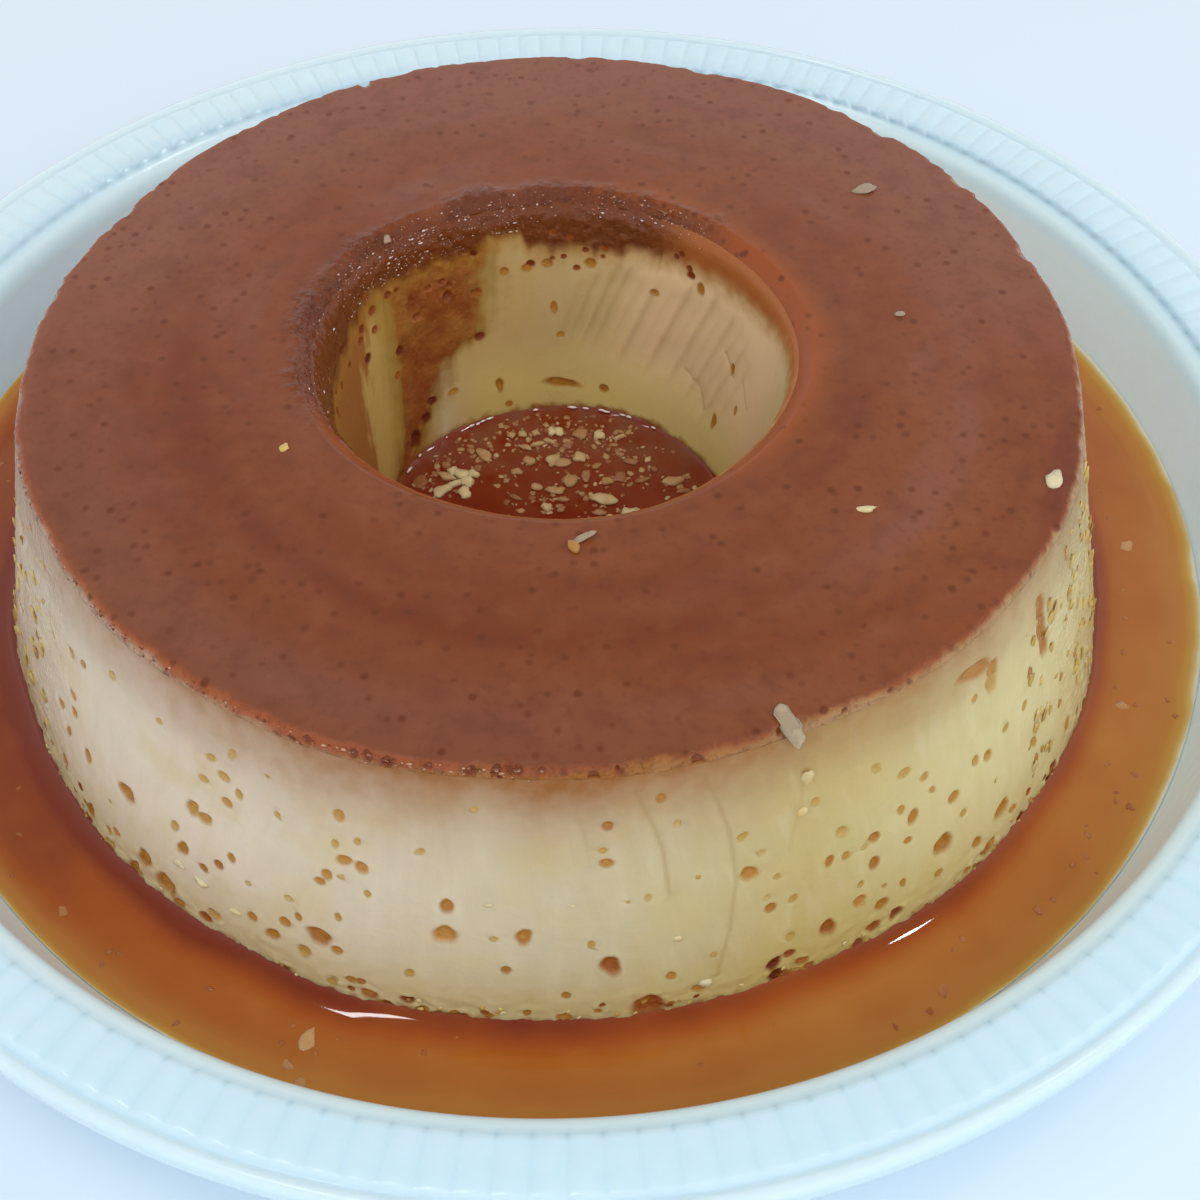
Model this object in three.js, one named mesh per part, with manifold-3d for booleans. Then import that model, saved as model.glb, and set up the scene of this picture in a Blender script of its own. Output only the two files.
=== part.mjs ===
// Ring flan turned out on a fluted plastic plate, standing in a pool of its own caramel.
// Millimetres, +Z up. The origin is the centre of the plate's underside, and -Y is the front.

import * as THREE from 'three';
import { mergeVertices } from 'three/addons/utils/BufferGeometryUtils.js';
import Module from 'manifold-3d';

const wasm = await Module();
wasm.setup();

const TURN = 2 * Math.PI;
const radians = THREE.MathUtils.degToRad;
const lerp = THREE.MathUtils.lerp;

// ---- Driving dimensions ----

const GAP = 0.3; // clearance between neighbouring pieces

// Plate
const SHEET = 0.8; // thickness of the plastic
const FLOOR_RADIUS = 112; // flat floor of the well
const FILLET = 7.5; // bend from the floor into the wall
const WALL_LEAN = 75; // degrees from level
const LIP = { radius: 123.4, height: 22.2, lean: 58 }; // top of the wall
const BAND = { radius: 126.2, height: 24.5, lean: 25 }; // smooth band between the lip and the flutes
const FLUTES = 171;
const FLUTE_START = { radius: 127.0, height: 25.4 }; // crest of a flute at its inner end
const FLUTE_END = { radius: 135.3, height: 26.5 }; // and at its outer end
const FLUTE_DEPTH = 0.8;
const RIM_GROOVE = { radius: 136.2, height: 25.7 };
const BEAD = { radius: 137.5, height: 26.6 }; // round bead that ends the flange
const RIM = { radius: 138.9, shoulder: 25.3, hem: 23.2 }; // turned-down outer edge
const WALL_COLUMNS = FLUTES / 3;

// Flan
const FLAN_Y = -2.3; // it was turned out a little in front of the plate's centre
const FOOT_HEIGHT = SHEET + GAP;
const TOP_HEIGHT = 53.6;
const TOP_SLANT = 1.3; // degrees, the front stands higher than the back
const FOOT_RADIUS = 101.6;
const TOP_RADIUS = 87.8;
const HOLE_FOOT = 32.4;
const HOLE_TOP = 39.4;
const EDGE_ROUND = 1.5; // how far the outer top edge rounds in
const HOLE_FLARE = { reach: 3.4, depth: 4.5 }; // soft round edge of the hole
const SOAKED_LAYER = 2.0; // caramel-soaked top
const FLAN_COLUMNS = 144;
const WALL_ROWS = [0, 0.1, 0.3, 0.55, 0.8, 1]; // shares of the wall's height

// Slow waves round the outline: lobes round the turn, height in mm, start in degrees
const OUTLINE_WAVES = [
  { lobes: 2, height: 0.5, start: 180 },
  { lobes: 3, height: 0.4, start: -95 },
  { lobes: 5, height: 0.35, start: -160 },
  { lobes: 13, height: 0.2, start: 40 },
];
const RAGGED_EDGE = 0.7; // chips along the outer top edge
const FOOT_DENTS = 0.8; // dents along the outer bottom edge
const FACET_ROOM = 0.2; // how far the flat facets between two rows stand out of the dents

// Folds that the mould left on the right-hand side of the hole's wall
const FOLDS = { from: 5, to: 72, spacing: 7.5, depth: 0.4, slant: 0.6 };

// Caramel
const SYRUP_LEVEL = 6.0;

// Bubbles that burst against the mould. The large ones at the front stand at their own
// angle in degrees, height and radius, and the loop scatters the rest over the other sides.
const FRONT_BUBBLES = [
  [-133, 23, 2.0],
  [-123, 31, 2.4],
  [-108, 22, 2.2],
  [-99, 24, 2.4],
  [-92, 24, 1.6],
  [-85, 39, 1.5],
  [-84, 18, 2.3],
  [-72, 31, 1.9],
  [-60, 24, 1.7],
  [-52, 19, 2.3],
];
const BUBBLES = { count: 17, from: -30, to: 215, smallest: 1.2, largest: 2.4, lowest: 9, highest: 42 };
const CRATER = { angle: -46, height: 46, size: [1.8, 5, 2.8], tilt: 20 };
const GASH = { angle: -34, height: 41, size: [1.2, 1.5, 6], tilt: 5 };
const SLOTS = [
  { angle: 90, height: 12.5, size: [1.2, 4, 1.1], tilt: 0 },
  { angle: 111, height: 14.5, size: [1.0, 1.6, 0.9], tilt: 15 },
];

// Flakes of set custard: place beside the flan's axis, half sizes, turn and tilt in degrees
const TOP_FLAKES = [
  { at: [32.4, -77.6], size: [4.6, 2.3, 0.7], turn: -52, tilt: 16 },
  { at: [5.2, -46.6], size: [3.2, 1.5, 0.6], turn: 30, tilt: 8 },
  { at: [56.4, 41.6], size: [2.9, 1.5, 0.7], turn: 20, tilt: 5 },
  { at: [76.5, -33.4], size: [1.9, 1.4, 0.7], turn: 60, tilt: 5 },
];
const HOLE_CLUMP = { at: [-19.5, 13], arms: 5, size: [3.4, 1.5, 0.8] };
const HOLE_CRUMBS = { count: 9, smallest: 1.3, largest: 2.4, reach: 26 };

const COLOURS = {
  plate: 0xcfe6f1,
  custard: 0xd2c8a2,
  caramel_top: 0x85523b,
  syrup: 0x9d6030,
};

// ---- Helpers ----

// Seeded random numbers from 0 to 1
function randomStream(seed) {
  let state = seed;
  return () => {
    state = (Math.imul(state, 1664525) + 1013904223) >>> 0;
    return state / 2 ** 32;
  };
}

// Rises smoothly from 0 to 1 inside a range of angles and falls again at its end
function sector(degrees, from, to, soft) {
  const rise = THREE.MathUtils.smoothstep(degrees, from, from + soft);
  const fall = 1 - THREE.MathUtils.smoothstep(degrees, to - soft, to);
  return rise * fall;
}

// A loop of points round the vertical axis. place(angle, step) gives [radius, height].
function loop(count, place, centreY = 0) {
  return Array.from({ length: count }, (unused, step) => {
    const angle = (step * TURN) / count;
    const [radius, height] = place(angle, step);
    return new THREE.Vector3(
      radius * Math.cos(angle),
      centreY + radius * Math.sin(angle),
      height,
    );
  });
}

const pole = (height, centreY = 0) => [new THREE.Vector3(0, centreY, height)];

// Joins two loops, which may have different counts, by stepping along the one that lags
function stitch(low, high, triangles) {
  const lowSteps = low.count > 1 ? low.count : 0;
  const highSteps = high.count > 1 ? high.count : 0;
  let lowStep = 0;
  let highStep = 0;
  while (lowStep < lowSteps || highStep < highSteps) {
    const lowHere = low.start + (lowStep % low.count);
    const highHere = high.start + (highStep % high.count);
    const lowLags = (lowStep + 0.5) * highSteps <= (highStep + 0.5) * lowSteps;
    if (highStep === highSteps || (lowStep < lowSteps && lowLags)) {
      lowStep += 1;
      triangles.push(lowHere, low.start + (lowStep % low.count), highHere);
    } else {
      highStep += 1;
      triangles.push(lowHere, high.start + (highStep % high.count), highHere);
    }
  }
}

// Skins a list of loops. They run anticlockwise round the section, so that faces point out.
function skin(loops, closesOnItself) {
  let start = 0;
  const rows = loops.map((points) => {
    const row = { start, count: points.length };
    start += points.length;
    return row;
  });
  const triangles = [];
  rows.forEach((row, index) => {
    const next = rows[index + 1] ?? (closesOnItself ? rows[0] : null);
    if (next) stitch(row, next, triangles);
  });
  const geometry = new THREE.BufferGeometry().setFromPoints(loops.flat());
  geometry.setIndex(triangles);
  return geometry;
}

function toSolid(geometry) {
  const bare = geometry.clone();
  bare.deleteAttribute('normal');
  bare.deleteAttribute('uv');
  const merged = mergeVertices(bare, 1e-4);
  return new wasm.Manifold(
    new wasm.Mesh({
      numProp: 3,
      vertProperties: new Float32Array(merged.attributes.position.array),
      triVerts: new Uint32Array(merged.index.array),
    }),
  );
}

function toGeometry(solid) {
  const mesh = solid.getMesh();
  const geometry = new THREE.BufferGeometry();
  geometry.setAttribute('position', new THREE.BufferAttribute(mesh.vertProperties, 3));
  geometry.setIndex(new THREE.BufferAttribute(mesh.triVerts, 1));
  return geometry;
}

function piece(name, geometry, colour, roughness) {
  geometry.computeVertexNormals();
  const material = new THREE.MeshStandardMaterial({ color: colour, roughness, metalness: 0 });
  const mesh = new THREE.Mesh(geometry, material);
  mesh.name = name;
  return mesh;
}

// A lump with few sides, stretched to half sizes, then turned about X and Z and moved
function lump(size, tilt, turn, position) {
  const geometry = new THREE.IcosahedronGeometry(1, 0);
  geometry.scale(...size);
  geometry.rotateX(radians(tilt));
  geometry.rotateZ(radians(turn));
  geometry.translate(...position);
  return toSolid(geometry);
}

// ---- Plate ----

// A point of the sheet's inside face, moved by offset towards its underside
function sheetPoint({ radius, height, lean }, offset) {
  const angle = radians(lean);
  return [radius + offset * Math.sin(angle), height - offset * Math.cos(angle)];
}

// Radius and height in the bend between the floor and the wall
function filletPoint(lean) {
  const angle = radians(lean);
  return {
    radius: FLOOR_RADIUS + FILLET * Math.sin(angle),
    height: SHEET + FILLET * (1 - Math.cos(angle)),
    lean,
  };
}

const WELL_SECTION = [0, 0.35, 0.68, 1].map((share) => filletPoint(share * WALL_LEAN));

// Radius of the well's inside face at a height within the bend
function wellRadius(height) {
  const angle = Math.acos(1 - (height - SHEET) / FILLET);
  return FLOOR_RADIUS + FILLET * Math.sin(angle);
}

function plateGeometry() {
  const plain = (count, point) => loop(count, () => point);
  const fluted = ({ radius, height }) =>
    loop(3 * FLUTES, (angle, step) => [radius, step % 3 === 0 ? height - FLUTE_DEPTH : height]);
  const under = [...WELL_SECTION, LIP, BAND].map((point) =>
    plain(WALL_COLUMNS, sheetPoint(point, SHEET)),
  );
  const inside = [...WELL_SECTION].reverse().map((point) =>
    plain(WALL_COLUMNS, sheetPoint(point, 0)),
  );
  const flangeUnder = [FLUTE_END.radius, FLUTE_END.height - FLUTE_DEPTH - SHEET];
  return skin([
    pole(0),
    ...under,
    plain(WALL_COLUMNS, flangeUnder),
    plain(FLUTES, [RIM.radius - SHEET, RIM.shoulder - SHEET]),
    plain(FLUTES, [RIM.radius - SHEET, RIM.hem]),
    plain(FLUTES, [RIM.radius, RIM.hem]),
    plain(FLUTES, [RIM.radius, RIM.shoulder]),
    plain(FLUTES, [BEAD.radius, BEAD.height]),
    plain(FLUTES, [RIM_GROOVE.radius, RIM_GROOVE.height]),
    fluted(FLUTE_END),
    fluted(FLUTE_START),
    plain(FLUTES, sheetPoint(BAND, 0)),
    plain(FLUTES, sheetPoint(LIP, 0)),
    ...inside,
    pole(SHEET),
  ], false);
}

// ---- Flan ----

// Height of the slanting top at a radius
function topHeight(angle, radius) {
  return TOP_HEIGHT - radius * Math.sin(angle) * Math.tan(radians(TOP_SLANT));
}

// Outline of the side at a share of its height, 0 at the foot and 1 at the top
function sideRadius(angle, share) {
  let radius = lerp(FOOT_RADIUS, TOP_RADIUS, share);
  for (const wave of OUTLINE_WAVES) {
    radius += wave.height * Math.cos(wave.lobes * angle - radians(wave.start));
  }
  const dent = Math.sin(9 * angle + 1) * Math.sin(14 * angle + 2) * Math.sin(4 * angle);
  return radius - FOOT_DENTS * Math.abs(dent) * Math.max(0, 1 - share / 0.2);
}

// The hole's wall, with the mould's folds
function holeRadius(angle, share) {
  const degrees = (angle * 360) / TURN;
  const slanted = degrees / FOLDS.spacing + FOLDS.slant * share;
  const folds = sector(degrees, FOLDS.from, FOLDS.to, 10) * Math.sin(Math.PI * share);
  const wave = 0.4 * Math.cos(2 * angle + 0.7) + 0.3 * Math.cos(5 * angle);
  return lerp(HOLE_FOOT, HOLE_TOP, share) + wave + FOLDS.depth * folds * Math.sin(TURN * slanted);
}

// How far the round edge of the hole opens at a depth below the top
function flareAt(depth) {
  return HOLE_FLARE.reach * Math.max(0, 1 - depth / HOLE_FLARE.depth) ** 2;
}

// A loop on the side (or in the hole) at a share of the height up to a level under the top
function flanLoop(radiusAt, share, underTop) {
  return loop(FLAN_COLUMNS, (angle) => {
    const radius = radiusAt(angle, share);
    const ceiling = topHeight(angle, radius) - underTop;
    return [radius, lerp(FOOT_HEIGHT, ceiling, share)];
  }, FLAN_Y);
}

// The two walls, with how far each leans back from upright
const FLAN_RISE = TOP_HEIGHT - FOOT_HEIGHT;
const SIDE = { radiusAt: sideRadius, lean: Math.atan((FOOT_RADIUS - TOP_RADIUS) / FLAN_RISE) };
const HOLE = { radiusAt: holeRadius, lean: Math.atan((HOLE_FOOT - HOLE_TOP) / FLAN_RISE) };

// A bubble's hollow: a lump that sits half in a wall. Its half sizes are depth, width, height.
function hollow({ angle, height, size, tilt }, wall, detail = 0) {
  const turn = radians(angle);
  const radius = wall.radiusAt(turn, (height - FOOT_HEIGHT) / FLAN_RISE);
  const geometry = new THREE.IcosahedronGeometry(1, detail);
  geometry.scale(...size);
  geometry.rotateX(radians(tilt));
  geometry.rotateY(-wall.lean);
  geometry.rotateZ(turn);
  geometry.translate(radius * Math.cos(turn), FLAN_Y + radius * Math.sin(turn), height);
  return toSolid(geometry);
}

function burstBubbles() {
  const random = randomStream(7);
  const scattered = Array.from({ length: BUBBLES.count }, (unused, index) => [
    lerp(BUBBLES.from, BUBBLES.to, (index + 0.8 * random()) / BUBBLES.count),
    lerp(BUBBLES.lowest, BUBBLES.highest, random() ** 1.7),
    lerp(BUBBLES.smallest, BUBBLES.largest, random() ** 2),
  ]);
  return [...FRONT_BUBBLES, ...scattered].map(([angle, height, radius]) => {
    const size = [0.8 * radius, radius * lerp(0.85, 1.15, random()), radius];
    return hollow({ angle, height, size, tilt: 90 * random() }, SIDE);
  });
}

function custardGeometry() {
  const boundary = SOAKED_LAYER + GAP / 2;
  const side = WALL_ROWS.map((share) => flanLoop(sideRadius, share, boundary));
  const top = loop(FLAN_COLUMNS, (angle) => {
    const radius = holeRadius(angle, 1) + flareAt(boundary);
    return [radius, topHeight(angle, radius) - boundary];
  }, FLAN_Y);
  const hole = [0.92, 0.7, 0.4, 0].map((share) => flanLoop(holeRadius, share, boundary));
  let body = toSolid(skin([...side, top, ...hole], true));
  for (const bubble of burstBubbles()) body = body.subtract(bubble);
  for (const scar of [CRATER, GASH]) body = body.subtract(hollow(scar, SIDE, 1));
  for (const slot of SLOTS) body = body.subtract(hollow(slot, HOLE));
  return toGeometry(body);
}

// A layer that runs through the whole flan, with a ragged outer edge and a soft inner one
function caramelTopGeometry() {
  const random = randomStream(23);
  const chips = Array.from({ length: FLAN_COLUMNS }, () => RAGGED_EDGE * random() ** 2);
  const bottom = SOAKED_LAYER - GAP / 2;
  const outer = (depth, roundIn) => loop(FLAN_COLUMNS, (angle, step) => {
    const radius = sideRadius(angle, 1) - roundIn - chips[step];
    return [radius, topHeight(angle, radius) - depth];
  }, FLAN_Y);
  const inner = (depth) => loop(FLAN_COLUMNS, (angle) => {
    const radius = holeRadius(angle, 1) + flareAt(depth);
    return [radius, topHeight(angle, radius) - depth];
  }, FLAN_Y);
  let layer = toSolid(skin([
    inner(bottom),
    outer(bottom, 0),
    outer(0.7, 0.25 * EDGE_ROUND),
    outer(0, EDGE_ROUND),
    inner(0),
    inner(1),
  ], true));
  for (const { at, size, turn, tilt } of TOP_FLAKES) {
    const [x, y] = at;
    const height = TOP_HEIGHT - y * Math.tan(radians(TOP_SLANT)) + 0.35;
    layer = layer.add(lump(size, tilt, turn, [x, FLAN_Y + y, height]));
  }
  return toGeometry(layer);
}

// ---- Caramel syrup ----

// Share of the flan's height at a level above the plate
const shareAt = (height) => (height - FOOT_HEIGHT) / (TOP_HEIGHT - SOAKED_LAYER - FOOT_HEIGHT);

// The pool between the flan's side and the plate's wall
function poolGeometry() {
  const atFlan = (height) => loop(FLAN_COLUMNS / 2, (angle) => [
    sideRadius(angle, shareAt(height)) + FACET_ROOM + GAP,
    height,
  ], FLAN_Y);
  const atPlate = (height) => loop(WALL_COLUMNS, () => [wellRadius(height - GAP) - GAP, height]);
  const middle = lerp(FOOT_HEIGHT, SYRUP_LEVEL, 0.35);
  return skin([
    atFlan(FOOT_HEIGHT),
    loop(WALL_COLUMNS, () => [FLOOR_RADIUS - GAP, FOOT_HEIGHT]),
    atPlate(middle),
    atPlate(SYRUP_LEVEL),
    atFlan(SYRUP_LEVEL),
  ], true);
}

// The pool at the bottom of the hole, with the larger crumbs that float on it
function holePoolGeometry() {
  const edge = (height) => loop(FLAN_COLUMNS / 3, (angle) => [
    holeRadius(angle, shareAt(height)) - GAP,
    height,
  ], FLAN_Y);
  let pool = toSolid(skin([
    pole(FOOT_HEIGHT, FLAN_Y),
    edge(FOOT_HEIGHT),
    edge(SYRUP_LEVEL),
    pole(SYRUP_LEVEL, FLAN_Y),
  ], false));
  const [clumpX, clumpY] = HOLE_CLUMP.at;
  for (let arm = 0; arm < HOLE_CLUMP.arms; arm += 1) {
    const turn = (arm * 360) / HOLE_CLUMP.arms;
    const reach = 0.7 * HOLE_CLUMP.size[0];
    const x = clumpX + reach * Math.cos(radians(turn));
    const y = FLAN_Y + clumpY + reach * Math.sin(radians(turn));
    pool = pool.add(lump(HOLE_CLUMP.size, 0, turn, [x, y, SYRUP_LEVEL + 0.3]));
  }
  const random = randomStream(31);
  for (let crumb = 0; crumb < HOLE_CRUMBS.count; crumb += 1) {
    const size = lerp(HOLE_CRUMBS.smallest, HOLE_CRUMBS.largest, random());
    const angle = radians(-60 + (crumb * 180) / HOLE_CRUMBS.count);
    const reach = HOLE_CRUMBS.reach * Math.sqrt(lerp(0.1, 1, random()));
    const place = [reach * Math.cos(angle), FLAN_Y + reach * Math.sin(angle), SYRUP_LEVEL + 0.2];
    pool = pool.add(lump([size, 0.6 * size, 0.5 * size], 0, 360 * random(), place));
  }
  return toGeometry(pool);
}

// ---- The whole ----

const flanOnPlate = new THREE.Group();
flanOnPlate.add(
  piece('plate', plateGeometry(), COLOURS.plate, 0.3),
  piece('custard', custardGeometry(), COLOURS.custard, 0.45),
  piece('caramel_top', caramelTopGeometry(), COLOURS.caramel_top, 0.4),
  piece('syrup_pool', poolGeometry(), COLOURS.syrup, 0.08),
  piece('syrup_in_hole', holePoolGeometry(), COLOURS.syrup, 0.08),
);

export default flanOnPlate;
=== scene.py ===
"""Ring-shaped leche flan with a caramel-soaked top, on a fluted plastic plate in its own syrup.

+Z is up and the front of the flan looks along -Y. Sizes are drawn in millimetres, as the
cook and the mould maker give them, and every mesh is brought to metres when it is placed.
"""

import math
import random

import bpy
import numpy as np
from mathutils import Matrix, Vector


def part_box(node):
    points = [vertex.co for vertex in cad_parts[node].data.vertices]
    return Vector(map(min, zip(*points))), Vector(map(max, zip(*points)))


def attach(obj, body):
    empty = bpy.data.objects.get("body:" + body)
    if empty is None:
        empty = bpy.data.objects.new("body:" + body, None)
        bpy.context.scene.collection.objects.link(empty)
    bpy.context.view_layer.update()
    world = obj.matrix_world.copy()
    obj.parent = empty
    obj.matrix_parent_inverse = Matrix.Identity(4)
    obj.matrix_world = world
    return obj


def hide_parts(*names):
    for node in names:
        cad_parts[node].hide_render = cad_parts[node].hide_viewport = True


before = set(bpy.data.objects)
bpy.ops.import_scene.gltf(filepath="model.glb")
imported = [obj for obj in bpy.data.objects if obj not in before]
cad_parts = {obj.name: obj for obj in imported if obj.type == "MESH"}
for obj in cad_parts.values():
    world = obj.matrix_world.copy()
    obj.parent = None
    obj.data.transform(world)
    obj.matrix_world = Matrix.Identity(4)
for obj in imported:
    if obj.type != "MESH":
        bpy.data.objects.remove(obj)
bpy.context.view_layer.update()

bl_info = {
    "name": "Leche flan on a plate",
    "version": (1, 0, 0),
    "blender": (4, 5, 0),
    "location": "3D View > Sidebar > Flan",
    "description": "Models and finishes a ring-shaped leche flan on its plate",
    "category": "Object",
}

TURN = 2 * math.pi
MM = 0.001

# ---- Driving dimensions, in millimetres and degrees, as the solids have them ----

PLATE_LOW, PLATE_HIGH = (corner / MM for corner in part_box("plate"))
CUSTARD_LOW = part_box("custard")[0] / MM

SHEET = 0.8  # thickness of the plate's plastic
FLOOR_RADIUS = 112
FILLET = 7.5
WALL_LEAN = 75
RIM_RADIUS = PLATE_HIGH.x
FLUTES = 171
FLUTE_FROM, FLUTE_TO = 126.7, 135.4
FLUTE_DEPTH = 0.8

FLAN_Y = -2.3
FOOT_HEIGHT = CUSTARD_LOW.z
TOP_HEIGHT = 53.6
TOP_SLANT = 1.3
SLOPE = math.tan(math.radians(TOP_SLANT))
FOOT_RADIUS, TOP_RADIUS = 101.6, 87.8
HOLE_FOOT, HOLE_TOP = 32.4, 39.4
EDGE_ROUND = 1.5
FLARE_REACH, FLARE_DEPTH = 3.4, 4.5
SOAKED_LAYER = 2.0
CEILING = TOP_HEIGHT - SOAKED_LAYER  # top of the custard under the soaked layer
HOLE_WITHIN, SIDE_BEYOND = 50, 75  # radii that tell the wall of the hole from the side
ELSEWHERE = -100  # distance into a stain for points of the other wall
OUTLINE_WAVES = ((2, 0.5, 180), (3, 0.4, -95), (5, 0.35, -160), (13, 0.2, 40))
FOOT_DENTS = 0.8

SYRUP_LEVEL = 6.0
MENISCUS_AT_FLAN = 1.1
MENISCUS_AT_PLATE = 0.35
MOAT_COLUMNS, WELL_COLUMNS = 720, 288
WELL_DRAWN = 100  # the pool in the hole is drawn this wide and then brought to the wall
CRUMBS_WITHIN = 31.5

# Burst bubbles on the side: angle, height, radius and how dark the caramel in them is
SIDE_BUBBLES = (
    (-84.4, 45.1, 0.9, 0.7), (-84.6, 38.4, 1.0, 0.55), (-78.3, 43.8, 0.8, 0.15),
    (-98.5, 29.6, 1.3, 0.6), (-98.7, 23.9, 1.9, 0.45), (-91.9, 24.4, 1.5, 0.55),
    (-84.5, 18.1, 1.9, 0.8), (-71.9, 30.9, 1.5, 0.5), (-72.4, 38.4, 0.9, 0.3),
    (-70.0, 22.7, 1.0, 0.6), (-69.9, 10.7, 1.4, 1.0), (-69.7, 7.9, 1.5, 1.0),
    (-81.1, 31.0, 0.7, 0.15), (-86.1, 22.8, 0.8, 0.3), (-93.5, 17.6, 0.9, 0.6),
    (-88.4, 12.4, 0.8, 0.6), (-79.3, 14.4, 0.9, 0.5), (-91.8, 8.6, 0.7, 0.7),
    (-100.7, 39.4, 0.8, 0.2), (-95.9, 48.0, 0.7, 0.25), (-79.7, 49.0, 0.9, 0.6),
    (-101.9, 14.9, 0.9, 0.3), (-81.3, 8.6, 2.6, 0.85), (-132.7, 23.3, 1.9, 0.6),
    (-121.5, 43.0, 0.9, 0.25), (-119.0, 45.9, 1.0, 0.25), (-122.4, 38.1, 0.9, 0.25),
    (-120.0, 40.8, 1.1, 0.3), (-118.3, 39.0, 0.9, 0.3), (-119.7, 36.1, 1.0, 0.4),
    (-123.8, 30.8, 1.5, 0.4), (-122.4, 30.2, 1.4, 0.4), (-126.1, 24.5, 1.1, 0.25),
    (-125.1, 21.0, 1.4, 0.6), (-122.6, 19.6, 0.9, 0.7), (-120.8, 22.4, 1.0, 0.75),
    (-119.3, 25.4, 0.9, 0.5), (-108.0, 43.0, 1.1, 0.4), (-108.4, 37.5, 0.8, 0.25),
    (-106.3, 39.1, 0.7, 0.25), (-107.6, 34.9, 1.2, 0.45), (-106.0, 34.3, 1.2, 0.45),
    (-109.3, 30.9, 1.1, 0.4), (-110.0, 29.1, 0.9, 0.45), (-114.1, 38.8, 0.7, 0.15),
    (-130.2, 12.2, 1.8, 0.6), (-127.4, 10.2, 2.2, 0.6), (-131.7, 7.8, 1.5, 0.7),
    (-138.9, 10.0, 1.4, 0.7), (-139.3, 21.9, 1.3, 0.5), (-142.1, 27.2, 1.1, 0.45),
    (-142.3, 30.7, 1.1, 0.4), (-145.3, 24.1, 1.1, 0.45), (-143.4, 21.0, 1.0, 0.5),
    (-140.1, 40.2, 0.9, 0.45), (-142.5, 39.0, 0.9, 0.35), (-134.7, 44.8, 1.0, 0.2),
    (-58.9, 41.4, 1.0, 0.25), (-55.9, 37.8, 1.1, 0.3), (-53.6, 34.7, 0.9, 0.35),
    (-52.7, 31.1, 0.7, 0.35), (-46.9, 29.9, 1.0, 0.35), (-45.1, 28.6, 1.2, 0.35),
    (-50.1, 26.4, 1.3, 0.45), (-56.4, 30.9, 0.9, 0.35), (-55.1, 28.2, 1.3, 0.55),
    (-48.9, 21.5, 0.8, 0.3), (-59.4, 28.2, 1.1, 0.6), (-55.8, 24.0, 0.8, 0.45),
    (-64.1, 27.6, 1.0, 0.6), (-62.4, 27.2, 0.8, 0.4), (-59.5, 23.0, 1.2, 0.7),
    (-51.6, 18.2, 2.1, 0.65), (-47.2, 12.5, 1.2, 0.5), (-43.3, 14.2, 1.8, 0.55),
    (-42.1, 30.3, 0.9, 0.3), (-38.7, 30.2, 0.9, 0.3), (-37.3, 20.1, 1.1, 0.4),
    (-30.0, 12.0, 1.3, 0.5), (-36.9, 15.8, 0.9, 0.4), (-65.3, 40.1, 0.9, 0.25),
    (-62.7, 32.2, 1.2, 0.2), (-56.5, 15.7, 0.8, 0.5), (-61.2, 16.6, 1.2, 0.45),
    (-58.9, 13.6, 1.3, 0.6), (-57.4, 9.9, 1.3, 0.9), (-64.5, 14.0, 1.6, 0.8),
    (-67.8, 22.9, 0.8, 0.35), (-68.2, 15.3, 1.0, 0.2), (-52.4, 12.9, 0.9, 0.4),
    (-117.1, 15.3, 1.0, 0.5), (-113.6, 17.7, 1.1, 0.5), (-112.2, 20.1, 0.8, 0.5),
    (-114.9, 13.9, 1.3, 0.6), (-110.2, 17.6, 2.0, 0.7), (-108.5, 16.0, 1.0, 0.5),
    (-111.7, 13.2, 1.3, 0.35), (-105.5, 29.5, 0.7, 0.3), (-108.3, 23.1, 0.8, 0.3),
    (-144.5, 12.5, 1.3, 0.6), (-150.2, 17.9, 1.3, 0.6), (-142.8, 39.1, 0.8, 0.4),
    (-46.7, 42.2, 0.8, 0.3), (-76.6, 33.1, 0.5, 0.2), (-61.0, 20.0, 0.7, 0.3),
)
# Bubbles and slots in the hole's wall: angle, height, half width, half height, darkness
HOLE_BUBBLES = (
    (90.0, 12.3, 4.0, 1.1, 0.6), (75.4, 11.5, 1.1, 1.0, 0.6), (111.1, 13.6, 0.9, 1.8, 0.6),
    (108.5, 8.6, 0.9, 0.8, 0.5), (91.8, 29.6, 0.8, 1.5, 0.5), (89.9, 23.4, 0.9, 0.7, 0.4),
    (61.2, 35.9, 1.1, 0.8, 0.4), (106.1, 38.5, 1.0, 0.9, 0.6), (99.4, 38.6, 1.2, 0.9, 0.6),
    (93.4, 39.2, 1.2, 1.0, 0.6), (80.9, 39.4, 1.2, 1.1, 0.6), (114.8, 35.2, 1.1, 1.0, 0.8),
    (123.9, 36.3, 1.3, 1.1, 0.95), (115.8, 25.7, 1.2, 1.0, 0.95), (134.7, 35.1, 1.0, 0.8, 0.9),
    (149.2, 42.4, 1.1, 1.0, 0.9), (135.5, 15.8, 1.3, 1.0, 1.0), (145.2, 10.3, 1.5, 2.2, 1.0),
    (143.0, 30.6, 1.1, 1.0, 1.0), (157.0, 39.6, 1.0, 0.8, 0.9), (156.0, 35.1, 1.2, 1.1, 1.0),
    (146.0, 26.3, 0.9, 0.8, 0.8), (139.0, 13.0, 1.3, 1.1, 1.0), (127.4, 15.5, 1.3, 0.8, 0.4),
    (45.8, 41.5, 1.0, 1.4, 0.6), (28.4, 30.5, 0.5, 1.5, 0.5), (31.0, 17.0, 0.7, 2.0, 0.5),
    (22.0, 24.0, 0.5, 1.2, 0.4),
)
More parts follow.
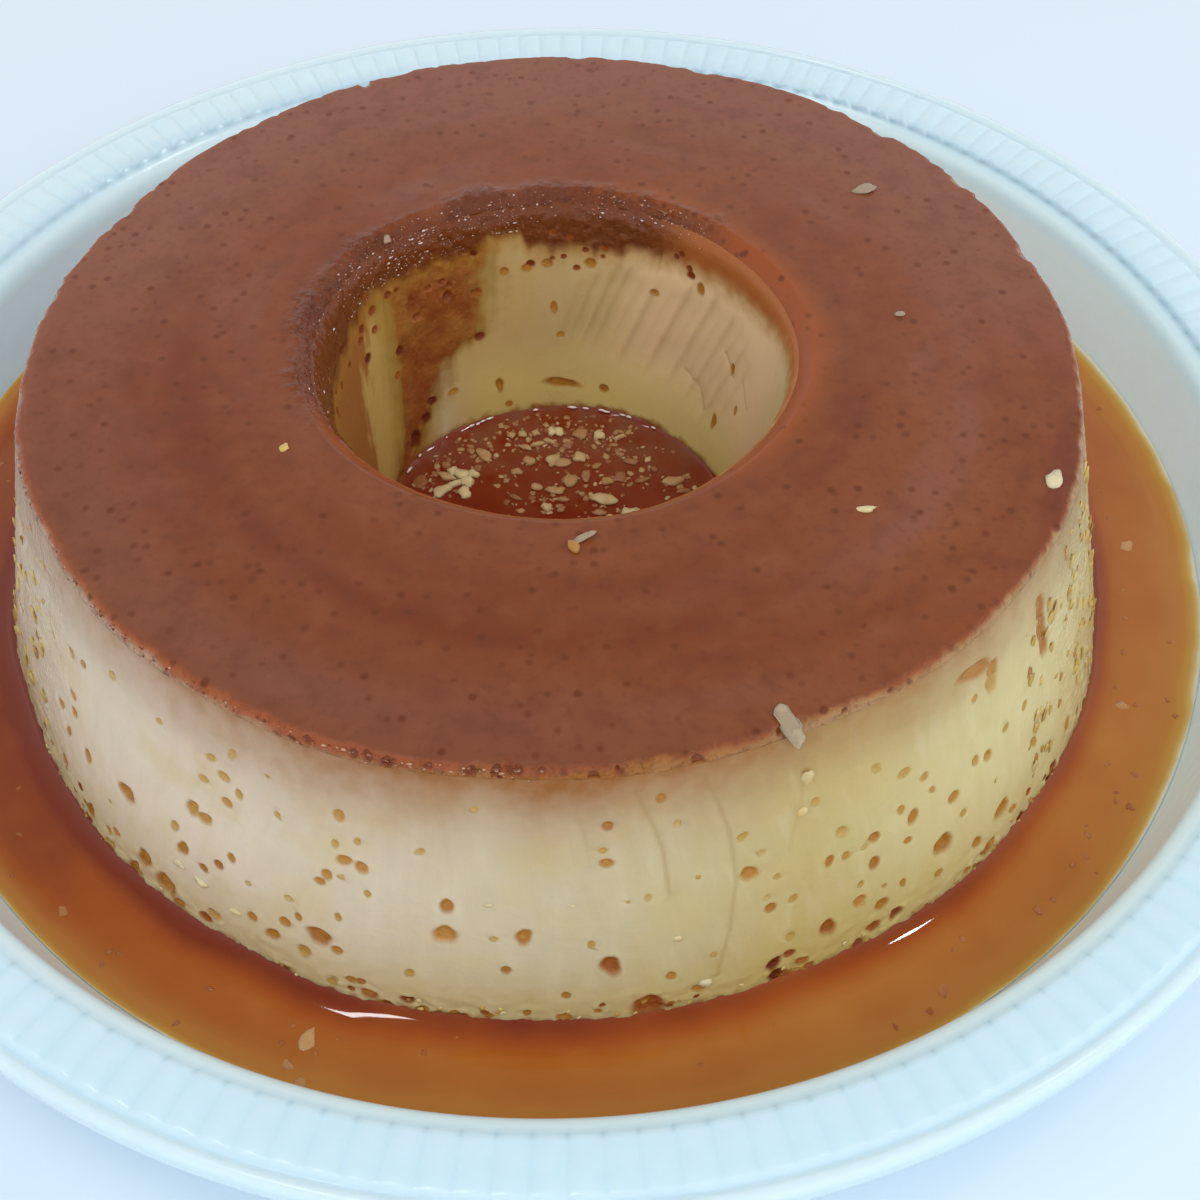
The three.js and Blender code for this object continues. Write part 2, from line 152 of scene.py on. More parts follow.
# A torn crater of three parts and an upright gash of three: as above, with a tilt in radians
SCARS = (
    (-46.4, 47.2, 4.2, 1.5, -0.28, 0.62), (-43.8, 44.4, 1.5, 2.0, 0.0, 0.5),
    (-44.1, 42.2, 1.6, 2.2, 0.2, 0.3), (-34.9, 45.0, 1.5, 3.0, 0.0, 0.7),
    (-34.8, 41.4, 1.6, 3.4, 0.0, 0.66), (-34.5, 37.8, 1.5, 3.0, 0.0, 0.68),
)
# Fine creases that the mould's skin left: a line of angles and heights, and its strength
SIDE_CREASES = (
    (((-81.9, 50.5), (-80.4, 44.0), (-79.6, 39.0), (-79.2, 30.6)), 0.8),
    (
        ((-75.8, 51.1), (-74.6, 46.0), (-73.6, 40.1), (-73.1, 30.6), (-73.9, 20.6), (-75.2, 12.2)),
        0.7,
    ),
    (((-87.5, 50.5), (-86.6, 45.2), (-85.9, 37.7)), 0.35),
    (((-66.0, 50.0), (-66.6, 42.0), (-68.0, 33.0)), 0.3),
)
HOLE_CREASES = (
    (((47.0, 23.0), (39.6, 21.1), (36.3, 17.5)), 0.8),
    (((32.5, 32.5), (29.5, 31.2), (27.2, 29.2)), 1.0),
    (((22.5, 30.5), (17.0, 27.0)), 0.6),
)
# Drapery folds of the hole's wall: angle at FOLD_HEIGHT, lowest and highest point, strength
HOLE_FOLDS = (
    (85.5, 24, 37, 0.4), (81.7, 23, 38, 0.7), (77.3, 22, 39, 1.0), (73.7, 21, 40, 1.0),
    (69.0, 21, 39, 0.5), (63.8, 20, 38, 0.9), (59.0, 21, 38, 0.5), (54.0, 20, 41, 1.0),
    (49.7, 22, 40, 0.5), (45.4, 19, 42, 0.9), (41.0, 20, 40, 0.5), (36.9, 18, 41, 0.8),
    (32.5, 17, 40, 0.5), (28.0, 14, 38, 0.7), (22.5, 14, 36, 0.4),
)
FOLD_HEIGHT = 31
FOLD_SLANT = 0.53  # degrees that a fold turns for each millimetre down
# Dark holes in the side of the soaked layer: angle, depth below the top edge, radius
EDGE_HOLES = (
    (-96.2, 1.3, 1.0), (-93.9, 1.0, 0.8), (-92.8, 0.7, 0.9), (-92.0, 0.7, 0.8), (-85.5, 1.7, 0.9),
    (-83.2, 1.3, 0.8), (-81.6, 2.4, 0.7), (-76.3, 1.6, 1.1), (-89.9, 0.9, 0.6), (-99.8, 0.9, 0.6),
    (-103.5, 1.2, 1.0), (-105.3, 1.0, 0.9), (-106.6, 1.2, 0.8), (-111.0, 0.9, 0.7),
    (-112.5, 1.4, 0.6), (-68.4, 0.9, 0.6), (-62.0, 1.1, 0.5), (-57.0, 1.2, 0.6),
)
# Where the ragged top edge has lost a larger chip: angle, width and depth
EDGE_NOTCHES = (
    (116.7, 0.5, 2.2), (112.0, 2.0, 0.8), (71.1, 1.6, 0.9), (44.5, 1.4, 1.4), (47.5, 2.6, 0.6),
    (30.9, 1.5, 1.2), (15.6, 1.6, 1.0), (172.9, 1.2, 0.7), (155.8, 1.4, 0.9), (88.0, 1.2, 0.7),
)
# Crumbs that float in the hole, from its axis: place, half length, half width, how pale
HOLE_CRUMBS = (
    (-19.3, 13.8, 1.2, 1.2, 1.0), (-18.0, 11.9, 1.3, 1.3, 1.0), (-18.4, 8.9, 1.1, 1.4, 1.0),
    (-22.6, 9.7, 1.7, 1.1, 0.85), (-22.2, 13.3, 1.5, 0.8, 0.7), (-20.9, 14.6, 1.0, 1.2, 0.95),
    (-16.9, 13.9, 1.0, 0.8, 0.95), (-20.4, 11.2, 1.6, 0.7, 0.9), (-6.1, 17.7, 1.3, 1.5, 0.6),
    (-8.6, 14.7, 1.3, 1.1, 0.5), (-1.8, 25.7, 1.0, 1.4, 1.0), (-2.4, 23.1, 1.4, 0.7, 0.67),
    (-4.7, 22.2, 1.4, 0.6, 0.67), (-6.9, 21.3, 1.2, 0.7, 0.67), (-1.5, 17.7, 1.4, 1.9, 0.72),
    (-7.7, 25.1, 0.9, 1.1, 0.66), (-5.1, 25.4, 0.9, 1.1, 0.66), (-9.9, 24.8, 0.9, 1.1, 0.66),
    (-15.1, 19.4, 1.1, 2.3, 0.63), (-4.5, 10.5, 1.2, 1.1, 0.63), (-1.5, 9.7, 1.4, 1.1, 0.63),
    (-2.6, 5.2, 1.3, 1.2, 0.78), (-10.2, 1.4, 1.5, 1.8, 0.98), (-10.5, 12.2, 0.7, 0.7, 0.41),
    (-8.5, 7.8, 1.3, 0.7, 0.32), (-17.8, 20.3, 0.9, 0.8, 0.39), (-22.6, 16.6, 0.9, 1.0, 0.3),
    (-27.2, 12.2, 1.2, 1.6, 0.19), (-0.5, 25.7, 1.2, 1.4, 0.96), (3.8, 25.3, 1.6, 1.6, 0.43),
    (1.3, 22.0, 1.0, 1.1, 0.36), (7.7, 24.7, 1.3, 1.3, 1.0), (11.6, 24.1, 1.4, 0.6, 0.78),
    (9.4, 20.8, 0.7, 0.8, 0.3), (3.7, 18.7, 1.4, 1.7, 0.73), (0.3, 17.2, 1.8, 1.5, 0.6),
    (13.9, 17.5, 1.6, 1.0, 0.33), (18.3, 15.4, 0.8, 1.1, 0.23), (7.1, 16.3, 1.0, 1.0, 0.34),
    (2.0, 12.2, 1.5, 1.9, 0.55), (5.0, 13.6, 0.9, 1.9, 0.4), (9.2, 12.2, 1.2, 1.3, 0.56),
    (11.6, 13.4, 1.4, 1.9, 0.23), (16.1, 12.5, 1.7, 0.7, 0.32), (22.2, 12.2, 2.3, 1.5, 0.65),
    (24.0, 9.6, 1.6, 0.8, 0.28), (-0.2, 9.6, 1.3, 1.2, 0.63), (4.2, 8.7, 0.8, 0.8, 0.43),
    (0.6, 7.3, 1.2, 0.7, 0.43), (8.6, 7.3, 2.6, 1.8, 0.82), (0.3, 4.7, 1.0, 0.9, 0.32),
    (13.5, 3.3, 1.9, 2.1, 0.95), (7.7, 3.9, 1.4, 0.9, 0.4),
)
# Larger flakes just under the syrup round the flan: place, half size, how pale
MOAT_FLAKES = (
    (-35.9, -102.8, 1.8, 0.75), (-38.4, -106.7, 1.0, 0.6), (-36.3, -109.8, 1.3, 0.6),
    (60.0, -94.8, 1.2, 0.45), (107.0, -4.5, 1.5, 0.7), (98.4, -41.5, 1.2, 0.6),
    (-66.5, -77.2, 1.3, 0.6), (-13.8, -102.0, 1.2, 0.3), (75.3, -69.4, 0.8, 0.35),
    (87.3, -67.5, 0.7, 0.35), (76.8, -81.2, 0.8, 0.3), (83.8, -73.1, 0.6, 0.35),
    (-76.9, -81.3, 1.1, 0.4), (101.0, -30.0, 0.7, 0.3), (103.0, -22.0, 0.6, 0.4),
)
# Flakes that lie on the top: place from the axis and height above the top, half sizes, turn and
# tilt in radians and how pale
TOP_FLAKES = (
    (32.9, -79.4, 0.1, (2.5, 1.5, 0.45), math.radians(-55), -0.35, 0.85),
    (33.9, -81.0, -0.9, (2.2, 1.5, 0.4), math.radians(-60), -0.5, 0.8),
    (-0.6, -86.6, -2.0, (2.0, 1.2, 1.2), 0.2, 0.1, 0.75),
    (5.4, -46.2, 0.5, (2.0, 0.6, 0.3), math.radians(28), 0.2, 0.95),
    (3.9, -47.8, 0.2, (1.2, 0.8, 0.6), 2.0, 0, 0.0),
    (56.4, 41.6, 0.3, (2.2, 1.3, 0.4), math.radians(20), 0.1, 0.95),
    (77.4, -33.9, 0.2, (1.8, 1.2, 0.5), math.radians(60), 0.1, 0.6),
    (58.6, 5.9, 0.1, (0.9, 0.6, 0.3), 0.4, 0, 0.9),
    (47.8, -40.1, 0.1, (1.5, 0.7, 0.3), 0.1, 0, 0.45),
    (-30.1, 26.6, 0.1, (0.7, 1.1, 0.5), 0.2, 0, 0.9),
    (-41.6, -26.8, 0.1, (0.9, 0.7, 0.3), 1.4, 0, 0.3),
)
# Pale curds on the side: angle, height, half width, half height, how pale
SIDE_CURDS = (
    (-78.6, 21.7, 1.0, 0.7, 0.5), (-76.3, 11.2, 1.3, 0.9, 0.5), (-65.9, 44.2, 1.2, 2.6, 0.4),
    (-66.6, 38.5, 1.0, 1.6, 0.4), (-95.0, 30.2, 0.9, 0.6, 0.5), (-87.5, 30.2, 0.7, 0.8, 0.5),
    (-125.6, 17.0, 1.5, 0.7, 0.55), (-123.0, 16.2, 1.6, 0.7, 0.55), (-119.0, 14.3, 1.6, 0.6, 0.5),
)
# Where white beads are painted as the syrup's glints where it creeps up the back of the hole, in
# degrees
GLINTS = (
    54.9, 65.3, 67.7, 73.9, 75.5, 81.2, 86.1, 99.5, 116.5, 119.3, 121.3, 123.9, 146.3, 153.6,
)
# How many of each kind are scattered at random
BACK_BUBBLES, FAINT_BUBBLES, FOOT_BUBBLES, RIM_BUBBLES = 95, 60, 240, 34
EDGE_CHIPS = 170
SMALL_CRUMBS, CRUMBS_AT_BACK = 360, 129
SUNK_CRUMBS = 120
RIM_BEADS, EDGE_BEADS = 1150, 150
BACK_BEADS, SPREAD_BEADS = 150, 380  # the first of the rim's, before they gather in clumps
BATCH = 50  # lumps are joined in batches, because each operator slows down with every object

# The camera stands over the front edge of the plate and looks down at the hole
CAMERA_PLACE = (0.007755, -0.206364, 0.231739)
CAMERA_TILT = 39.536
LENS, SENSOR = 48, 36


# ---- Helpers ----


def linear(code):
    """An sRGB hex colour as the linear colour that a shader socket takes."""
    channels = [int(code[start : start + 2], 16) / 255 for start in (1, 3, 5)]
    curve = [c / 12.92 if c <= 0.04045 else ((c + 0.055) / 1.055) ** 2.4 for c in channels]
    return (*curve, 1.0)


def smoothstep(value, low, high):
    share = np.clip((value - low) / (high - low), 0, 1)
    return share * share * (3 - 2 * share)


def lerp(low, high, share):
    return low + (high - low) * share


def node(tree, kind, links=None, ramp=None, **settings):
    """Adds one shader node. A link's value is either another node's socket or a plain number."""
    made = tree.nodes.new("ShaderNode" + kind)
    for name, value in settings.items():
        setattr(made, name, value)
    for socket, source in (links or {}).items():
        if isinstance(source, bpy.types.NodeSocket):
            tree.links.new(source, made.inputs[socket])
        else:
            made.inputs[socket].default_value = source
    if ramp:
        stops = made.color_ramp.elements
        while len(stops) < len(ramp):
            stops.new(1)
        for stop, (position, colour) in zip(stops, ramp):
            stop.position = position
            stop.color = colour
    return made


def new_material(name):
    """An empty material and the tree that its shader goes into."""
    material = bpy.data.materials.new(name)
    material.use_nodes = True
    material.node_tree.nodes.clear()
    return material, material.node_tree


def turned(degrees, centre):
    """How far a direction lies from another one, the short way round, in degrees."""
    return (degrees - centre + 180) % 360 - 180


def deselect():
    if bpy.context.mode != "OBJECT":
        bpy.ops.object.mode_set(mode="OBJECT")
    bpy.ops.object.select_all(action="DESELECT")


def select_only(*pieces):
    """Selects pieces and nothing else, and makes the first one active."""
    deselect()
    for piece in pieces:
        piece.select_set(True)
    bpy.context.view_layer.objects.active = pieces[0]


def name_piece(name):
    piece = bpy.context.object
    piece.name = piece.data.name = name
    return piece


def edit(piece):
    """Goes into edit mode on one piece with nothing selected."""
    select_only(piece)
    bpy.ops.object.mode_set(mode="EDIT")
    bpy.ops.mesh.select_all(action="DESELECT")


def spun(name, section, steps):
    """Spins a closed section, drawn as radius and height points, into a ring."""
    deselect()
    bpy.ops.mesh.primitive_circle_add(vertices=len(section), fill_type="NOTHING")
    piece = name_piece(name)
    for vertex, (radius, height) in zip(piece.data.vertices, section):
        vertex.co = (radius * MM, 0, height * MM)
    edit(piece)
    bpy.ops.mesh.select_all(action="SELECT")
    bpy.ops.mesh.spin(steps=steps, angle=TURN, center=(0, 0, 0), axis=(0, 0, 1))
    bpy.ops.mesh.select_all(action="SELECT")
    bpy.ops.mesh.remove_doubles(threshold=1e-6)
    bpy.ops.mesh.normals_make_consistent(inside=False)
    bpy.ops.object.mode_set(mode="OBJECT")
    return piece


def extruded_disc(name, rings, steps, lid=False):
    """Starts from a flat disc and extrudes its edge through rings of radius and height."""
    deselect()
    radius, height = rings[0]
    bpy.ops.mesh.primitive_circle_add(
        vertices=steps, radius=radius * MM, fill_type="NGON", location=(0, 0, height * MM)
    )
    piece = name_piece(name)
    bpy.ops.object.transform_apply(location=True, rotation=False, scale=False)
    edit(piece)
    bpy.ops.mesh.select_all(action="SELECT")
    bpy.ops.mesh.region_to_loop()
    for next_radius, next_height in rings[1:]:
        bpy.ops.mesh.extrude_edges_move(
            TRANSFORM_OT_translate={"value": (0, 0, (next_height - height) * MM)}
        )
        grow = next_radius / radius
        bpy.ops.transform.resize(value=(grow, grow, 1), center_override=(0, 0, 0))
        radius, height = next_radius, next_height
    if lid:
        bpy.ops.mesh.edge_face_add()
        bpy.ops.mesh.select_all(action="SELECT")
        bpy.ops.mesh.normals_make_consistent(inside=False)
    bpy.ops.object.mode_set(mode="OBJECT")
    return piece


def points_of(piece):
    """A piece's points as x, y and z arrays in millimetres."""
    flat = np.empty(len(piece.data.vertices) * 3)
    piece.data.vertices.foreach_get("co", flat)
    return flat.reshape(-1, 3).T / MM


def put_points(piece, x, y, z):
    piece.data.vertices.foreach_set("co", np.stack([x, y, z], 1).ravel() * MM)
    piece.data.update()


def paint(piece, **layers):
    """Keeps a value for each point, or three of them, for the material to read by name."""
    for name, values in layers.items():
        values = np.asarray(values, np.float32)
        kind, field = ("FLOAT_VECTOR", "vector") if values.ndim == 2 else ("FLOAT", "value")
        layer = piece.data.attributes.new(name, kind, "POINT")
        layer.data.foreach_set(field, values.ravel())


def apply_modifier(piece, name, kind, **settings):
    select_only(piece)
    modifier = piece.modifiers.new(name, kind)
    for key, value in settings.items():
        setattr(modifier, key, value)
    bpy.ops.object.modifier_apply(modifier=name)


def roughen(piece, name, grain, strength, weights=None):
    """Lifts and sinks the surface along its normals with soft noise, evenly or by a weight."""
    clouds = bpy.data.textures.new(name, "CLOUDS")
    clouds.noise_scale = grain * MM
    clouds.noise_depth = 2
    settings = dict(texture=clouds, texture_coords="LOCAL", strength=strength * MM)
    if weights is not None:
        group = piece.vertex_groups.new(name=name)
        levels = 20
        steps = np.round(np.clip(weights, 0, 1) * levels)
        for step in range(1, levels + 1):
            group.add(np.flatnonzero(steps == step).tolist(), step / levels, "REPLACE")
        settings["vertex_group"] = name
    apply_modifier(piece, name, "DISPLACE", **settings)
    piece.vertex_groups.clear()


def smooth(piece, degrees=50):
    select_only(piece)
    bpy.ops.object.shade_smooth_by_angle(angle=math.radians(degrees))


def finish_piece(piece, material, slot, *nodes):
    """Gives a piece its material, puts it under the root and hides the solids that it stands for;
    the slot is not used.
    """
    piece.data.materials.clear()
    piece.data.materials.append(material)
    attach(piece, "root")
    if nodes:
        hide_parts(*nodes)
    return piece


# ---- The flan's form ----


def side_radius(angle, share):
    """Radius of the side at a share of its height, with its slow waves and the foot's dents."""
    radius = lerp(FOOT_RADIUS, TOP_RADIUS, share)
    for lobes, height, start in OUTLINE_WAVES:
        radius = radius + height * np.cos(lobes * angle - math.radians(start))
    dent = np.sin(9 * angle + 1) * np.sin(14 * angle + 2) * np.sin(4 * angle)
    return radius - FOOT_DENTS * np.abs(dent) * np.maximum(0, 1 - share / 0.2)


def hole_radius(angle, share):
    """Radius of the hole's wall, with its slow waves."""
    wave = 0.4 * np.cos(2 * angle + 0.7) + 0.3 * np.cos(5 * angle)
    return lerp(HOLE_FOOT, HOLE_TOP, share) + wave


def top_height(angle, radius):
    return TOP_HEIGHT - radius * np.sin(angle) * SLOPE


def flare(depth):
    """How far the soft edge of the hole opens at a depth below the top."""
    return FLARE_REACH * max(0.0, 1 - depth / FLARE_DEPTH) ** 2


def wander(angle, spacing, reach, seed):
    """A ragged line round the axis: chance values at even angles, in degrees, joined up."""
    count = round(360 / spacing)
    chance = np.random.default_rng(seed).uniform(-reach, reach, count)
    return np.interp(np.degrees(angle) % 360, np.arange(count + 1) * spacing, [*chance, chance[0]])


def flan_angle(x, y):
    return np.arctan2(y - FLAN_Y, x)


def wall_spot(degrees, height, inside=False):
    """The point of the side, or of the hole's wall, at an angle and a height."""
    angle = math.radians(degrees)
    share = (height - FOOT_HEIGHT) / (CEILING - FOOT_HEIGHT)
    radius = (hole_radius if inside else side_radius)(angle, share)
    return radius * math.cos(angle), FLAN_Y + radius * math.sin(angle), height


def line_distance(degrees, height, radius, line):
    """Distance in millimetres along a wall from every point to a broken line drawn on it."""
    nearest = np.full(len(height), 1e3)
    for (from_at, from_z), (to_at, to_z) in zip(line, line[1:]):
        u = np.radians(turned(degrees, from_at)) * radius
        v = height - from_z
        du, dv = np.radians(to_at - from_at) * radius, to_z - from_z
        share = np.clip((u * du + v * dv) / (du * du + dv * dv), 0, 1)
        nearest = np.minimum(nearest, np.hypot(u - share * du, v - share * dv))
    return nearest


def place_on_flan(piece, lowest, depth_from_top):
    """Brings a ring drawn on the plain cone to the flan's waves, dents and slanting top."""
    x, y, z = points_of(piece)
    angle, radius = np.arctan2(y, x), np.hypot(x, y)
    ceiling = TOP_HEIGHT - depth_from_top
    share = np.clip((z - FOOT_HEIGHT) / (ceiling - FOOT_HEIGHT), 0, 1)
    inner, outer = lerp(HOLE_FOOT, HOLE_TOP, share), lerp(FOOT_RADIUS, TOP_RADIUS, share)
    across = (radius - inner) / (outer - inner)
    radius = lerp(hole_radius(angle, share), side_radius(angle, share), across)
    rise = top_height(angle, radius) - TOP_HEIGHT
    lift = rise * np.clip((z - lowest) / (ceiling - lowest), 0, 1)
    put_points(piece, radius * np.cos(angle), FLAN_Y + radius * np.sin(angle), z + lift)
    return angle, across, share


# ---- Operators ----


class PlateSettings(bpy.types.PropertyGroup):
    colour: bpy.props.FloatVectorProperty(
        name="Plastic",
        description="Body colour of the moulded plastic",
        default=linear("#c6e2f3")[:3],
        subtype="COLOR",
        size=3,
    )
    columns_per_flute: bpy.props.IntProperty(
        name="Columns per flute",
        description="How finely each flute of the rim is drawn",
        default=8,
        min=4,
        max=12,
    )


class FlanSettings(bpy.types.PropertyGroup):
    custard_left: bpy.props.FloatVectorProperty(
        name="Custard, left",
        description="Set custard on the side that the milk browned least",
        default=linear("#dfd0bb")[:3],
        subtype="COLOR",
        size=3,
    )
    custard_front: bpy.props.FloatVectorProperty(
        name="Custard, front",
        description="Set custard halfway between the milky and the yolky side",
        default=linear("#c9bc9b")[:3],
        subtype="COLOR",
        size=3,
    )
    custard_right: bpy.props.FloatVectorProperty(
        name="Custard, right",
        description="Set custard on the side that is richer in egg yolk",
        default=linear("#d8cd9a")[:3],
        subtype="COLOR",
        size=3,
    )
    soaked: bpy.props.FloatVectorProperty(
        name="Soaked top",
        description="Custard that has taken up caramel",
        default=linear("#7c4224")[:3],
        subtype="COLOR",
        size=3,
    )
    columns: bpy.props.IntProperty(
        name="Columns",
        description="Steps of the spin round the flan's axis",
        default=600,
        min=144,
        max=1440,
    )
    bubble_depth: bpy.props.FloatProperty(
        name="Bubble depth",
        description="Depth of a burst bubble as a share of its radius",
        default=0.34,
        min=0,
        max=1,
        subtype="FACTOR",
    )


class SyrupSettings(bpy.types.PropertyGroup):
    deep: bpy.props.FloatVectorProperty(
        name="Deep syrup",
        description="Colour of the caramel syrup where it is deepest",
        default=linear("#9c4c0c")[:3],
        subtype="COLOR",
        size=3,
    )
    thin: bpy.props.FloatVectorProperty(
        name="Thin syrup",
        description="Colour of the syrup where it runs out on the plate",
        default=linear("#bf9038")[:3],
        subtype="COLOR",
        size=3,
    )
    level: bpy.props.FloatProperty(
        name="Level",
        description="Height of the syrup above the underside of the plate",
        default=SYRUP_LEVEL * MM,
        unit="LENGTH",
        precision=4,
    )


class StageSettings(bpy.types.PropertyGroup):
    table: bpy.props.FloatVectorProperty(
        name="Table",
        description="Colour of the plain table top",
        default=linear("#dcecf7")[:3],
        subtype="COLOR",
        size=3,
    )
    sky: bpy.props.FloatProperty(
        name="Room light",
        description="Strength of the even light of the room",
        default=1.0,
        min=0,
    )
    softbox: bpy.props.FloatProperty(
        name="Softbox",
        description="Power of the large soft light in front of and above the table",
        default=7.0,
        unit="POWER",
        min=0,
    )
    fill: bpy.props.FloatProperty(
        name="Fill light",
        description="Power of the soft light at the right",
        default=1.6,
        unit="POWER",
        min=0,
    )
    lamp: bpy.props.FloatProperty(
        name="Lamps",
        description="Power of each of the two small ceiling lamps",
        default=0.95,
        unit="POWER",
        min=0,
    )


def plastic_material(colour):
    """Thermoformed polystyrene: thin, glossy and a little milky, so light softens its shadows."""
    material, tree = new_material("thermoformed_polystyrene")
    place = node(tree, "TexCoord")
    # The sheet keeps a faint orange peel, about 3 mm across, from the forming tool
    peel = node(tree, "TexNoise", {"Vector": place.outputs["Object"], "Scale": 330, "Detail": 1})
    tint = node(
        tree, "ValToRGB", {"Fac": peel.outputs["Fac"]},
        ramp=[(0.3, (*[c * 0.97 for c in colour], 1)), (0.7, (*colour, 1))],
    ).outputs["Color"]
    # The far wall takes painted shade and warm light from the flan, the lip a painted highlight and
    # the fold painted shade
    for name, over in (("wall", "#e4e7df"), ("lip", "#d8f4ff"), ("fold", "#708890")):
        share = node(tree, "Attribute", attribute_name=name).outputs["Fac"]
        links = {"Factor": share, "A": tint, "B": linear(over)}
        tint = node(tree, "Mix", links, data_type="RGBA").outputs["Result"]
    bump = node(tree, "Bump", {"Height": peel.outputs["Fac"], "Strength": 0.06, "Distance": 0.001})
    shader = node(
        tree, "BsdfPrincipled",
        {
            "Base Color": tint,
            "Roughness": 0.2,
            "IOR": 1.59,
            "Subsurface Weight": 0.6,
            "Subsurface Radius": (0.0026, 0.0033, 0.004),
            "Subsurface Scale": 1.0,
            "Normal": bump.outputs["Normal"],
        },
    )
    node(tree, "OutputMaterial", {"Surface": shader.outputs["BSDF"]})
    return material


class FLAN_OT_plate(bpy.types.Operator):
    """Extrudes the plate from its floor disc, flutes its rim and gives the sheet its thickness"""

    bl_idname = "flan.plate"
    bl_label = "Plate"

    def execute(self, context):
        settings = context.scene.flan_plate
        bend = [
            (
                FLOOR_RADIUS + FILLET * math.sin(math.radians(lean)),
                SHEET + FILLET * (1 - math.cos(math.radians(lean))),
            )
            for lean in (0, 15, 30, 45, 60, WALL_LEAN)
        ]
        lip = [
            (122.6, 19.17), (122.95, 20.5), (123.25, 21.6), (123.7, 22.5), (124.4, 23.3),
            (125.3, 24.0), (126.2, 24.5),
        ]
        flutes = [
            (FLUTE_FROM, 24.95), (127.2, 25.35), (127.8, 25.5), (130.4, 25.85), (133.0, 26.2),
            (134.8, 26.42), (FLUTE_TO, 26.3),
        ]
        bead = [
            (135.9, 25.85), (136.3, 25.8), (136.8, 26.25), (137.5, 26.6), (138.2, 26.42),
            (138.7, 25.9), (RIM_RADIUS, 25.1), (RIM_RADIUS, PLATE_LOW.z + 23.2),
        ]
        plate = extruded_disc(
            "fluted_plate", bend + lip + flutes + bead, FLUTES * settings.columns_per_flute
        )
        x, y, z = points_of(plate)
        radius = np.hypot(x, y)
        along = (np.degrees(np.arctan2(y, x)) % 360) * FLUTES / 360 % 1
        groove = lerp(0.6, 0.85, y / radius) * (1 - np.sin(math.pi * along) ** 0.8)
        reach = smoothstep(radius, 126.3, FLUTE_FROM + 0.5) * (1 - smoothstep(radius, 134.9, 136.0))
        put_points(plate, x, y, z - FLUTE_DEPTH * groove * reach)
        back, left = smoothstep(y / radius, -0.5, 0.25), smoothstep(-x / radius, -0.2, 0.5)
        wall = smoothstep(radius, 110.5, 114) * (1 - smoothstep(radius, 122.6, 123.2))
        # Painted highlight on the lip, the flutes and the outer bead, in front also on the wall
        # under them
        lip = lerp(0.9, 0.6, back) * np.exp(-(((radius - 124.4) / (2 - back)) ** 2))
        flutes_catch = (0.35 + 0.25 * left) * back + 0.1 * (1 - back)
        lip += flutes_catch * smoothstep(radius, 128.5, 130) + 0.3 * smoothstep(radius, 136, 137)
        lip += 0.8 * (1 - back) * wall
        # Painted shade along the step where the flutes start, most at the back
        fold = np.exp(-(((radius - 126.3) / 0.6) ** 2)) * (1 - 0.35 * np.sin(math.pi * along))
        fold *= (0.15 + 0.5 * back) * (1 - 0.4 * left)
        # Painted shade: in front each flute starts with a small dark tick, and its groove is a
        # little deeper blue
        narrow = (1 - np.sin(math.pi * along)) * (1 - back)
        fold += 0.3 * narrow**2 * np.exp(-(((radius - 126.9) / 0.5) ** 2))
        fold += 0.05 * narrow * smoothstep(radius, 127, 129) * (1 - smoothstep(radius, 134, 136))
        # Painted shade on the far left of the wall
        fold += 0.28 * left * back * wall
        # The far wall is painted warmer and greyer, for the flan's shade and the warm light it
        # throws
        paint(plate, wall=0.45 * wall * back, lip=np.minimum(lip, 1), fold=fold)
        if plate.data.polygons[0].normal.z < 0:
            edit(plate)
            bpy.ops.mesh.select_all(action="SELECT")
            bpy.ops.mesh.flip_normals()
            bpy.ops.object.mode_set(mode="OBJECT")
        apply_modifier(plate, "Sheet", "SOLIDIFY", thickness=SHEET * MM, offset=-1)
        smooth(plate, 60)
        finish_piece(plate, plastic_material(settings.colour), "plate_plastic", "plate")
        return {"FINISHED"}


